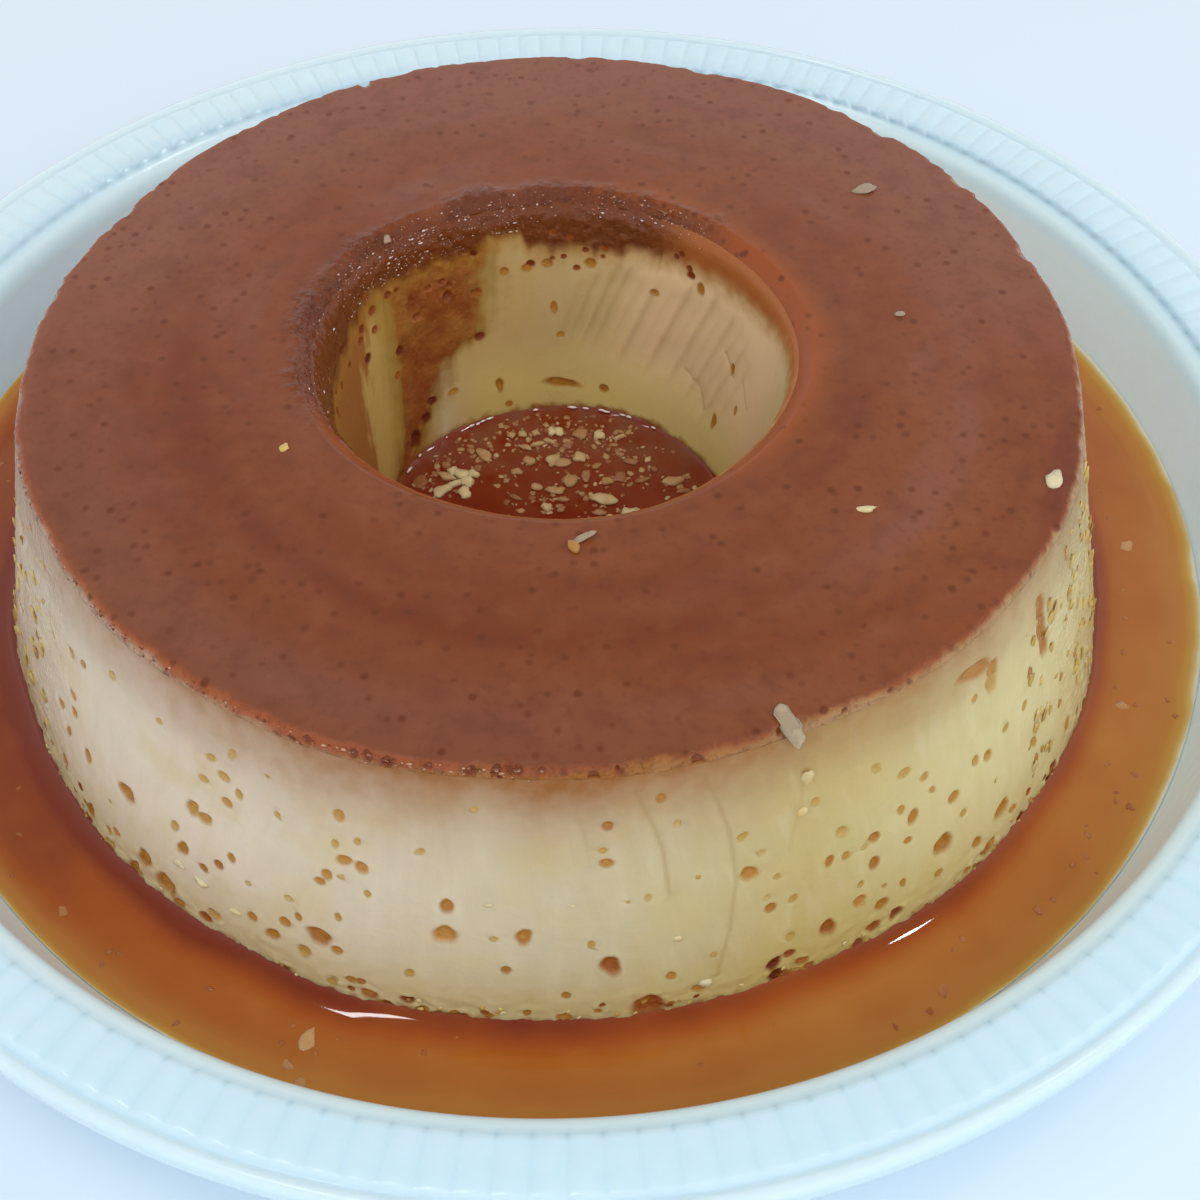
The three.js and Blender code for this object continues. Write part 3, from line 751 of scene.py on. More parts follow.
def custard_material(settings):
    """Set egg custard: dense and moist, so it is satin, lets light in and takes soft shadows."""
    material, tree = new_material("set_custard")
    place = node(tree, "TexCoord").outputs["Object"]
    read = {
        name: node(tree, "Attribute", attribute_name=name).outputs["Fac"]
        for name in (
            "bubble", "bubble_tone", "heart", "stain", "amber", "soak", "rosy", "crease", "caramel",
            "band", "wet_rim", "above_syrup", "lumpy", "low", "lit",
        )
    }
    # Clouds of yellower custard 12 mm across, ragged stains at 2.6 mm, a curd grain at 1.5 mm,
    # the wet grains that the stained wall is broken into at 0.9 mm, and the streaks, 2.6 mm wide
    # and 12 mm long, that the mould dragged down the walls and that have a frame of their own
    drag = node(tree, "Attribute", attribute_name="drag").outputs["Vector"]
    for name, where, scale, detail in (
        ("clouds", place, 80, 3), ("ragged", place, 380, 4), ("grain", place, 650, 2),
        ("crumble", place, 1100, 3), ("streaks", drag, 1, 2),
    ):
        noise = node(tree, "TexNoise", {"Vector": where, "Scale": scale, "Detail": detail})
        read[name] = noise.outputs["Fac"]
    read["across"] = node(tree, "SeparateXYZ", {"Vector": place}).outputs["X"]
    # The edges of the stains, as distances in millimetres, are broken up by the ragged noise
    for name, broken_by, reach in (
        ("stain", "ragged", 5.0), ("stain", "streaks", 8.0), ("amber", "ragged", 6.0),
        ("amber", "streaks", 14.0), ("band", "ragged", 3.5), ("above_syrup", "ragged", -5.0),
    ):
        links = {0: read[broken_by], 1: reach, 2: read[name]}
        read[name] = node(tree, "Math", links, operation="MULTIPLY_ADD").outputs["Value"]
    share = {}
    for name, source, low, high, at_low, at_high in (
        ("across", "across", -0.1, 0.1, 0, 1),
        ("yolky", "clouds", 0.45, 0.75, 0, 0.4),
        ("pale_streak", "streaks", 0.5, 0.75, 0, 0.12),
        ("dark_streak", "streaks", 0.5, 0.28, 0, 0.08),
        ("low", "above_syrup", -2, 13, 0.55, 0),
        ("uneven", "ragged", 0.3, 0.7, 0.93, 1.07),
        ("amber", "amber", 8.0, 13.0, 0, 0.88),
        ("halo", "stain", -1.0, 7.0, 0, 0.8),
        ("stain", "stain", 4.6, 9.6, 0, 0.97),
        ("fringe", "band", -3.5, 1.5, 0, 0.7),
        ("band", "band", -0.6, 2.8, 0, 0.95),
        ("foot", "above_syrup", -2.8, -0.4, 1, 0),
        ("inside", "bubble", -0.25, 0.4, 0, 1),
    ):
        kind = "LINEAR" if name == "across" else "SMOOTHSTEP"
        links = dict(enumerate((read[source], low, high, at_low, at_high)))
        share[name] = node(tree, "MapRange", links, interpolation_type=kind).outputs["Result"]
    for name, first, second in (
        ("tan", read["caramel"], share["uneven"]), ("low", share["low"], read["low"]),
    ):
        links = {0: first, 1: second}
        share[name] = node(tree, "Math", links, operation="MULTIPLY").outputs["Value"]
    # Left to right the custard goes from milky to yolky over the flan's width
    colour = node(
        tree, "ValToRGB", {"Fac": share["across"]},
        ramp=[
            (0.25, (*settings.custard_left, 1)), (0.54, (*settings.custard_front, 1)),
            (0.69, linear("#c2b178")), (0.84, (*settings.custard_right, 1)),
        ],
    ).outputs["Color"]
    caramel = node(
        tree, "ValToRGB", {"Fac": read["clouds"]},
        ramp=[(0.35, linear("#985a2a")), (0.5, linear("#85441e")), (0.65, linear("#9c642e"))],
    ).outputs["Color"]
    # Caramel that stayed in the bubbles, from a thin olive film to deep amber
    tone = node(
        tree, "ValToRGB", {"Fac": read["bubble_tone"]},
        ramp=[
            (0.1, linear("#c0aa6e")), (0.3, linear("#b8944c")), (0.45, linear("#b48038")),
            (0.6, linear("#a67028")), (0.85, linear("#985220")), (1.0, linear("#6a2c12")),
        ],
    ).outputs["Color"]
    # The band under the rim is orange, and dark where the rim is wet and torn
    links = {"Factor": read["wet_rim"], "A": linear("#a05a28"), "B": linear("#6c3418")}
    band = node(tree, "Mix", links, data_type="RGBA").outputs["Result"]
    # From what is deepest in the custard to what lies on it
    for factor, over in (
        (share["yolky"], linear("#cdb878")),
        (share["pale_streak"], linear("#f1e6d0")),
        (share["dark_streak"], linear("#a8935c")),
        # Painted shade and bounce light: towards the syrup the side is painted a darker yellow
        (share["low"], linear("#bfa85c")),
        (share["tan"], linear("#92581c")),
        (read["soak"], linear("#ba9640")),
        # Painted light on the right of the hole's wall
        (read["rosy"], linear("#f4d2b0")),
        (read["lit"], linear("#e8d888")),
        (share["amber"], linear("#965824")),
        (share["halo"], linear("#94722a")),
        (share["stain"], caramel),
        (share["fringe"], linear("#a5762e")),
        (share["band"], band),
        # Painted shade in the creases and in the valleys of the folds
        (read["crease"], linear("#98793e")),
        (share["foot"], linear("#98551f")),
        (share["inside"], tone),
        (read["heart"], linear("#cf9448")),
    ):
        links = {"Factor": factor, "A": colour, "B": over}
        colour = node(tree, "Mix", links, data_type="RGBA").outputs["Result"]
    wet = read["lumpy"]
    for other in ("stain", "inside"):
        wet = node(tree, "Math", {0: wet, 1: share[other]}, operation="MAXIMUM").outputs["Value"]
    gloss = node(tree, "MapRange", dict(enumerate((wet, 0, 1, 0.42, 0.14)))).outputs["Result"]
    relief = node(tree, "Math", {0: read["crumble"], 1: wet}, operation="MULTIPLY").outputs["Value"]
    soft = node(tree, "Bump", {"Height": read["grain"], "Strength": 0.2, "Distance": 0.0004})
    broken = node(
        tree, "Bump",
        {"Height": relief, "Strength": 0.5, "Distance": 0.0006, "Normal": soft.outputs["Normal"]},
    )
    shader = node(
        tree, "BsdfPrincipled",
        {
            "Base Color": colour,
            "Roughness": gloss,
            "IOR": 1.4,
            "Subsurface Weight": 0.35,
            "Subsurface Radius": (0.004, 0.0028, 0.0016),
            "Subsurface Scale": 1.0,
            "Normal": broken.outputs["Normal"],
        },
    )
    node(tree, "OutputMaterial", {"Surface": shader.outputs["BSDF"]})
    return material


def edge_wobble(angle):
    """How far in millimetres the soaked edge runs up and down along the side."""
    return wander(angle, 5, 0.9, 51) + wander(angle, 1.5, 0.6, 52)


def caramel_share(depth, degrees):
    """How much caramel has soaked into the side at a depth below its top edge, most in front."""
    front = np.exp(-((turned(degrees, -88) / 20) ** 2))
    depths = (0, 0.5, 1.5, 2.5, 3.5, 5, 6.5, 8, 10, 13, 17, 22)
    in_front = np.interp(depth, depths, (1, 1, 1, 0.97, 0.88, 0.76, 0.64, 0.52, 0.4, 0.24, 0.12, 0))
    elsewhere = np.interp(
        depth, depths, (0.9, 0.84, 0.76, 0.7, 0.64, 0.57, 0.53, 0.47, 0.35, 0.18, 0.08, 0)
    )
    return lerp(elsewhere, in_front, front)


def wall_bubbles(rng):
    """Every bubble of both walls: where it is, its half width and height, tilt and darkness."""
    bubbles = []
    for degrees, height, radius, tone in SIDE_BUBBLES:
        stretch = rng.uniform(0.8, 1.2)
        size = radius * stretch, radius / stretch
        bubbles.append((degrees, height, *size, rng.uniform(-0.6, 0.6), tone, False))
    for degrees, height, wide, high, tilt, tone in SCARS:
        bubbles.append((degrees, height, wide, high, tilt, tone, False))
    for degrees, height, wide, high, tone in HOLE_BUBBLES:
        bubbles.append((degrees, height, wide, high, rng.uniform(-0.2, 0.2), tone, True))
    # The sides and the back have them too, thicker towards the foot
    for _ in range(BACK_BUBBLES):
        size = rng.uniform(0.6, 1.1) if rng.random() < 0.7 else rng.uniform(1.1, 1.9)
        height = lerp(9, 47, rng.random() ** 1.5)
        place = rng.uniform(-26, 216), height
        high, tone = size * rng.uniform(0.7, 1.2), rng.uniform(0.15, 0.7)
        bubbles.append((*place, size, high, 0, tone, False))
    # Faint ones all round, dark ones along the foot and in the torn rim of the hole
    for _ in range(FAINT_BUBBLES):
        size = rng.uniform(0.35, 0.75)
        place = rng.uniform(-180, 180), lerp(9, 46, rng.random() ** 1.6)
        bubbles.append((*place, size * 1.2, size, 0, rng.uniform(0.05, 0.3), False))
    for _ in range(FOOT_BUBBLES):
        place = rng.uniform(-180, 180), SYRUP_LEVEL + 0.3 + 6 * rng.random() ** 2.2
        size = rng.uniform(0.35, 1.1)
        bubbles.append((*place, size * 1.5, size, 0, rng.uniform(0.3, 0.95), False))
    for _ in range(RIM_BUBBLES):
        place = rng.uniform(45, 205), rng.uniform(38, 47)
        size = rng.uniform(0.4, 0.9)
        bubbles.append((*place, size * 1.2, size, 0, rng.uniform(0.85, 1.0), True))
    return bubbles


def refine_near(piece, spots, reach, cuts=3, larger_than=0.0):
    """Subdivides the faces near any of the spots that are larger than an area in mm2."""
    count = len(piece.data.polygons)
    centres, areas = np.empty(count * 3), np.empty(count)
    piece.data.polygons.foreach_get("center", centres)
    piece.data.polygons.foreach_get("area", areas)
    centres = centres.reshape(-1, 3) / MM
    near = np.zeros(count, bool)
    for spot, room in zip(spots, reach):
        near |= ((centres - spot) ** 2).sum(1) < room * room
    near &= areas > larger_than * MM * MM
    edit(piece)
    bpy.ops.mesh.select_mode(type="FACE")
    bpy.ops.object.mode_set(mode="OBJECT")
    piece.data.polygons.foreach_set("select", near)
    bpy.ops.object.mode_set(mode="EDIT")
    bpy.ops.mesh.subdivide(number_cuts=cuts)
    bpy.ops.mesh.select_mode(type="VERT")
    bpy.ops.object.mode_set(mode="OBJECT")


def refine_custard(custard, bubbles):
    """Subdivides the walls where bubbles, creases, folds and curds need finer faces."""
    spots = [wall_spot(at, height, inside) for at, height, *_, inside in bubbles]
    reach = [1.1 * max(wide, high) + 0.4 for _, _, wide, high, *_ in bubbles]
    for lines, inside in ((SIDE_CREASES, False), (HOLE_CREASES, True)):
        for line, _ in lines:
            for start, end in zip(line, line[1:]):
                for share in np.linspace(0, 1, 12):
                    at, height = lerp(np.array(start), np.array(end), share)
                    spots.append(wall_spot(at, height, inside))
                    reach.append(1.0)
    refine_near(custard, np.array(spots), reach)
    # The torn rim of the hole, its folds and the foot are cut once more where faces are large
    rim = [wall_spot(at, height, True) for at in range(45, 222, 4) for height in (43, 48.5)]
    refine_near(custard, np.array(rim), [4.5] * len(rim), 1, 0.4)
    folds = [
        wall_spot(at, height, True) for at in range(24, 92, 4) for height in range(18, 43, 4)
    ]
    refine_near(custard, np.array(folds), [3.2] * len(folds), 1, 0.4)
    foot = [wall_spot(at, height) for at in range(-180, 0, 3) for height in (7.5, 12.5)]
    refine_near(custard, np.array(foot), [4.2] * len(foot), 1, 1.0)


def pressed_bubbles(bubbles, depth_share, degrees, radius, z, on_side, on_hole):
    """How deep in a bubble each point lies, how dark that bubble is and how far it is pressed."""
    push = np.zeros(len(z))
    bubble, tone = np.full(len(z), -1.0), np.zeros(len(z))
    for index, (at, height, wide, high, tilt, dark, inside) in enumerate(bubbles):
        near = (on_hole if inside else on_side) & (np.abs(z - height) < 2.5 * max(wide, high))
        turn = turned(degrees, at)
        along = np.radians(turn) * radius
        near &= np.abs(along) < 2.5 * max(wide, high)
        u, v = along[near], (z - height)[near]
        u, v = u * math.cos(tilt) + v * math.sin(tilt), v * math.cos(tilt) - u * math.sin(tilt)
        bend = np.arctan2(v / high, u / wide)
        uneven = 0.07 if max(wide, high) > 1.6 else 0.03
        lobes = 1 + uneven * (np.sin(3 * bend + index) + 0.6 * np.sin(5 * bend + 2 * index))
        closeness = 1 - np.hypot(u / wide, v / high) / lobes
        better = closeness > bubble[near]
        spot = np.flatnonzero(near)[better]
        bubble[spot] = closeness[better]
        tone[spot] = dark
        depth = depth_share * min(wide, high)
        push[spot] = depth * smoothstep(closeness[better], -0.1, 0.6)
    return bubble, tone, push


def creases_and_folds(degrees, radius, z, on_side, on_hole):
    """How much painted shade each point takes in the creases and the folds' valleys, and how far
    the creases and folds press it in.
    """
    crease = np.zeros(len(z))
    fold = np.zeros(len(z))
    for region, lines in ((on_side, SIDE_CREASES), (on_hole, HOLE_CREASES)):
        for line, strength in lines:
            away = line_distance(degrees, z, radius, line)
            # Painted shade along each crease
            crease = np.maximum(crease, strength * (1 - smoothstep(away, 0.05, 0.6)) * region)
            fold = np.maximum(fold, strength * np.exp(-away / 1.3) * region)
    push = 0.25 * fold
    for at, low, high, strength in HOLE_FOLDS:
        turn = degrees - at - FOLD_SLANT * (FOLD_HEIGHT - z)
        away = np.radians(turn) * radius
        valley = np.exp(-((np.abs(away) / np.where(away > 0, 0.7, 2.0)) ** 1.5)) * on_hole
        valley *= smoothstep(z, low - 5, low + 4) * (1 - smoothstep(z, high - 4, high + 2))
        push += 0.6 * strength * valley
        # The valleys of the folds take painted shade too
        crease = np.maximum(crease, 0.55 * strength * valley)
    return crease, push


class FLAN_OT_custard(bpy.types.Operator):
    """Spins the custard ring, presses the bubbles and creases into it and paints its stains"""

    bl_idname = "flan.custard"
    bl_label = "Custard"

    def execute(self, context):
        settings = context.scene.flan_body
        side = [
            (lerp(FOOT_RADIUS, TOP_RADIUS, share), lerp(FOOT_HEIGHT, CEILING, share))
            for share in np.linspace(0, 1, 46)
        ]
        top = [(lerp(TOP_RADIUS, HOLE_TOP, share), CEILING) for share in (0.02, 0.5)]
        hole = []
        for share in np.linspace(1, 0, 45):
            height = lerp(FOOT_HEIGHT, CEILING, share)
            hole.append((lerp(HOLE_FOOT, HOLE_TOP, share) + flare(TOP_HEIGHT - height), height))
        # It is refined where it counts, so it starts with fewer columns than the soaked layer
        columns = round(0.6 * settings.columns)
        custard = spun("custard_ring", side + top + hole, columns)
        place_on_flan(custard, FOOT_HEIGHT, SOAKED_LAYER)

        bubbles = wall_bubbles(random.Random(11))
        refine_custard(custard, bubbles)

        x, y, z = points_of(custard)
        angle, radius = flan_angle(x, y), np.hypot(x, y - FLAN_Y)
        degrees = np.degrees(angle)
        on_side, on_hole = radius > SIDE_BEYOND, radius < HOLE_WITHIN
        inward = np.where(on_side, -1.0, 1.0)
        walls = degrees, radius, z, on_side, on_hole
        bubble, tone, push = pressed_bubbles(bubbles, settings.bubble_depth, *walls)
        crease, creased = creases_and_folds(*walls)
        push += creased

        around = degrees % 360
        arc = math.radians(1) * HOLE_TOP  # millimetres for each degree along the hole's wall
        # The caramel that ran down the hole's left wall, as signed distances into its edges
        right_border = np.interp(
            z, [4, 10.6, 14.6, 19.4, 23, 24.9, 26.3, 44.7],
            [150, 142, 136, 132, 129, 122, 116, 113],
        )
        left_border = np.interp(
            z, [4, 7.9, 11, 15, 21, 27, 40, 46], [163, 157, 153, 149, 146, 145, 142, 144]
        )
        stain = np.minimum(around - right_border, left_border - around) * arc
        yellow_end = np.interp(z, [17, 28, 34, 39, 42.8, 46], [168, 163, 158, 153, 149, 146])
        amber = np.minimum(around - yellow_end, 222 - around) * arc
        band_floor = np.interp(
            around, [4, 18, 29, 46, 62, 72, 98, 101, 110, 114, 150, 170, 200, 240, 330, 356],
            [48.6, 46.6, 46.0, 44.9, 43.6, 42.4, 41.5, 45.4, 45, 43, 44, 41, 42, 47, 50.5, 49],
        )
        ragged = wander(angle, 4, 1.0, 71) + wander(angle, 1.5, 0.5, 72)
        band_floor += ragged * (0.25 + 0.75 * (around > 60))
        band = np.where(on_hole, z - band_floor, ELSEWHERE) - 1.2
        wet_rim = smoothstep(around, 48, 66) * (1 - smoothstep(around, 205, 240))
        wet = on_hole * wet_rim * smoothstep(np.maximum(np.minimum(stain, 2), band), -0.5, 1.5)
        x += inward * push * np.cos(angle)
        y += inward * push * np.sin(angle)
        put_points(custard, x, y, z)

        # The hole's left is soaked amber, its back olive and its foot damp; its right takes painted
        # light, lighter and rosier
        soak = smoothstep(around, 128, 143) * (1 - smoothstep(around, 205, 240))
        olive = (0.52 + 0.16 * smoothstep(around, 85, 108)) * smoothstep(around, 40, 85)
        damp = 0.2 * (1 - smoothstep(z, 7, 18)) * smoothstep(around, 5, 30) * (around < 220)
        olive *= 1 - smoothstep(around, 120, 140)
        soak = np.maximum.reduce([0.85 * soak, olive, damp])
        # Painted light on the upper right of the hole's wall
        rosy = 0.75 * (1 - smoothstep(np.abs(degrees - 38), 18, 52)) * smoothstep(z, 8, 22)
        from_top = top_height(angle, radius) - z + edge_wobble(angle)
        # Where the syrup's painted shade and bounce light show: less towards the right front, some
        # in the hole
        low_side = np.where(on_hole, 0.4, 1 - 0.8 * smoothstep(degrees, -65, -22))
        # The mould's streaks lean most at the front left
        lean = 0.15 + 0.75 * np.exp(-(((degrees + 122) / 24) ** 2))
        ways = angle * radius - lean * (z - 30)
        heart = 0.3 * smoothstep(bubble, 0.2, 0.8) * (tone < 0.8)
        ragged_foot = on_side * (1 - smoothstep(z, 9, 15)) * smoothstep(z, 5.5, 7.5)
        from_back = np.abs(turned(degrees, 92))
        edges = smoothstep(from_back, 78, 90) * (1 - smoothstep(from_back, 118, 130))
        # The syrup throws light up at the far wall of the hole, where little else reaches it
        far_wall = smoothstep(around, 0, 25) * (1 - smoothstep(around, 112, 135)) * on_hole
        lit = 0.2 * (1 - smoothstep(around, 70, 95)) + 0.42 * (1 - smoothstep(z, 12, 26))
        paint(
            custard,
            bubble=bubble,
            bubble_tone=tone,
            stain=np.where(on_hole, stain, ELSEWHERE),
            amber=np.where(on_hole, amber, ELSEWHERE),
            band=band,
            soak=soak * on_hole,
            rosy=rosy * on_hole,
            crease=np.where(on_hole, 0.5, 0.45) * crease,
            caramel=caramel_share(from_top, degrees) * on_side,
            above_syrup=z - SYRUP_LEVEL,
            lumpy=np.maximum(0.8 * edges * on_side, wet),
            wet_rim=wet_rim,
            low=low_side,
            lit=far_wall * np.minimum(lit, 0.6),
            heart=heart,
            drag=np.stack([ways / 2.6, z / 12, np.zeros(len(z))], 1),
        )
        roughen(custard, "Set surface", 6.0, 0.25)
        curds = np.maximum.reduce([wet, 0.6 * edges * on_side * (z < 49), 0.7 * ragged_foot])
        roughen(custard, "Curds", 1.5, 1.0, curds)
        smooth(custard, 65)
        finish_piece(custard, custard_material(settings), "custard", "custard")
        return {"FINISHED"}


def soaked_material(settings):
    """Caramel-soaked custard: a satin brown skin, glossier where syrup stayed at the hole."""
    material, tree = new_material("caramel_soaked_custard")
    place = node(tree, "TexCoord").outputs["Object"]
    read = {
        name: node(tree, "Attribute", attribute_name=name).outputs["Fac"]
        for name in (
            "hole_rim", "dark_rim", "hole_glow", "outer_edge", "broken", "ember", "ash", "dusk",
            "side", "caramel", "pit",
        )
    }
    turn = node(tree, "Attribute", attribute_name="round_about").outputs["Vector"]
    # Long soft bands of redder caramel that follow the turn, about 12 mm apart, clouds 33 mm
    # and a mottle 5 mm across, a grain of 1.4 mm in the skin and of 1 mm in the broken rims, and
    # the pores that steam left, at 3 and 4 mm apart
    for name, kind, where, scale, out in (
        ("bands", "TexNoise", turn, 1, "Fac"),
        ("clouds", "TexNoise", place, 30, "Fac"),
        ("mottle", "TexNoise", place, 200, "Fac"),
        ("skin", "TexNoise", place, 700, "Fac"),
        ("crumble", "TexNoise", place, 1000, "Fac"),
        ("fine", "TexVoronoi", place, 330, None),
        ("few", "TexVoronoi", place, 250, None),
    ):
        made = node(tree, kind, {"Vector": where, "Scale": scale})
        if out:
            made.inputs["Detail"].default_value = 3
            read[name] = made.outputs[out]
        else:
            read[name], read[name + "_pick"] = made.outputs["Distance"], made.outputs["Color"]
    share = {}
    for name, source, low, high, at_low, at_high in (
        ("warm", "clouds", 0.5, 0.7, 0, 0.4),
        ("patchy", "clouds", 0.36, 0.62, 0.15, 0.6),
        ("dark_mottle", "mottle", 0.5, 0.3, 0, 0.27),
        ("light_mottle", "mottle", 0.5, 0.7, 0, 0.17),
        ("skin", "skin", 0.5, 0.3, 0, 0.24),
        ("fine", "fine", 0.1, 0.3, 0.62, 0),
        ("few", "few", 0.08, 0.24, 0.85, 0),
        ("torn", "crumble", 0.5, 0.62, 0, 0.45),
        ("gloss", "broken", 0, 1, 0.38, 0.1),
    ):
        links = dict(enumerate((read[source], low, high, at_low, at_high)))
        made = node(tree, "MapRange", links, interpolation_type="SMOOTHSTEP")
        share[name] = made.outputs["Result"]
    for name, first, second, operation in (
        ("chosen", read["fine_pick"], share["patchy"], "LESS_THAN"),
        ("fine", share["fine"], "chosen", "MULTIPLY"),
        ("kept", read["few_pick"], 0.6, "LESS_THAN"),
        ("few", share["few"], "kept", "MULTIPLY"),
        ("pores", "fine", "few", "MAXIMUM"),
        ("torn", share["torn"], read["broken"], "MULTIPLY"),
        ("relief", read["crumble"], read["broken"], "MULTIPLY"),
    ):
        links = {0: share.get(first, first) if isinstance(first, str) else first}
        links[1] = share[second] if isinstance(second, str) else second
        share[name] = node(tree, "Math", links, operation=operation).outputs["Value"]
    colour = node(
        tree, "ValToRGB", {"Fac": read["bands"]},
        ramp=[
            (0.3, linear("#6c311a")), (0.43, linear("#7a3e1c")), (0.56, (*settings.soaked, 1)),
            (0.7, linear("#7f4b37")),
        ],
    ).outputs["Color"]
    # Its own side is the custard's colour under the same tan as the custard below it
    across = node(tree, "SeparateXYZ", {"Vector": place}).outputs["X"]
    across = node(tree, "MapRange", dict(enumerate((across, -0.1, 0.1, 0, 1)))).outputs["Result"]
    side = node(
        tree, "ValToRGB", {"Fac": across},
        ramp=[
            (0.25, (*settings.custard_left, 1)), (0.5, (*settings.custard_front, 1)),
            (0.84, (*settings.custard_right, 1)),
        ],
    ).outputs["Color"]
    links = {"Factor": read["caramel"], "A": side, "B": linear("#92581c")}
    side = node(tree, "Mix", links, data_type="RGBA").outputs["Result"]
    for factor, over in (
        (share["warm"], linear("#834720")),
        (read["ember"], linear("#6b2d0c")),
        # Painted sheen at the back and along the front left edge
        (read["ash"], linear("#845442")),
        (read["dusk"], linear("#72432f")),
        (share["light_mottle"], linear("#8d5436")),
        (share["dark_mottle"], linear("#5f2c18")),
        (share["skin"], linear("#5c2a18")),
        (read["hole_glow"], linear("#98501a")),
        (read["hole_rim"], linear("#94481c")),
        (read["dark_rim"], linear("#5c2c14")),
        (read["outer_edge"], linear("#9c5128")),
        (read["side"], side),
        (share["pores"], linear("#602a0a")),
        (share["torn"], linear("#4e2412")),
        (read["pit"], linear("#7c3c1c")),
    ):
        links = {"Factor": factor, "A": colour, "B": over}
        colour = node(tree, "Mix", links, data_type="RGBA").outputs["Result"]
    bump = node(tree, "Bump", {"Height": share["relief"], "Strength": 0.8, "Distance": 0.0008})
    shader = node(
        tree, "BsdfPrincipled",
        {
            "Base Color": colour,
            "Roughness": share["gloss"],
            "IOR": 1.38,
            "Subsurface Weight": 0.1,
            "Subsurface Radius": (0.002, 0.0008, 0.0004),
            "Subsurface Scale": 1.0,
            "Normal": bump.outputs["Normal"],
        },
    )
    node(tree, "OutputMaterial", {"Surface": shader.outputs["BSDF"]})
    return material


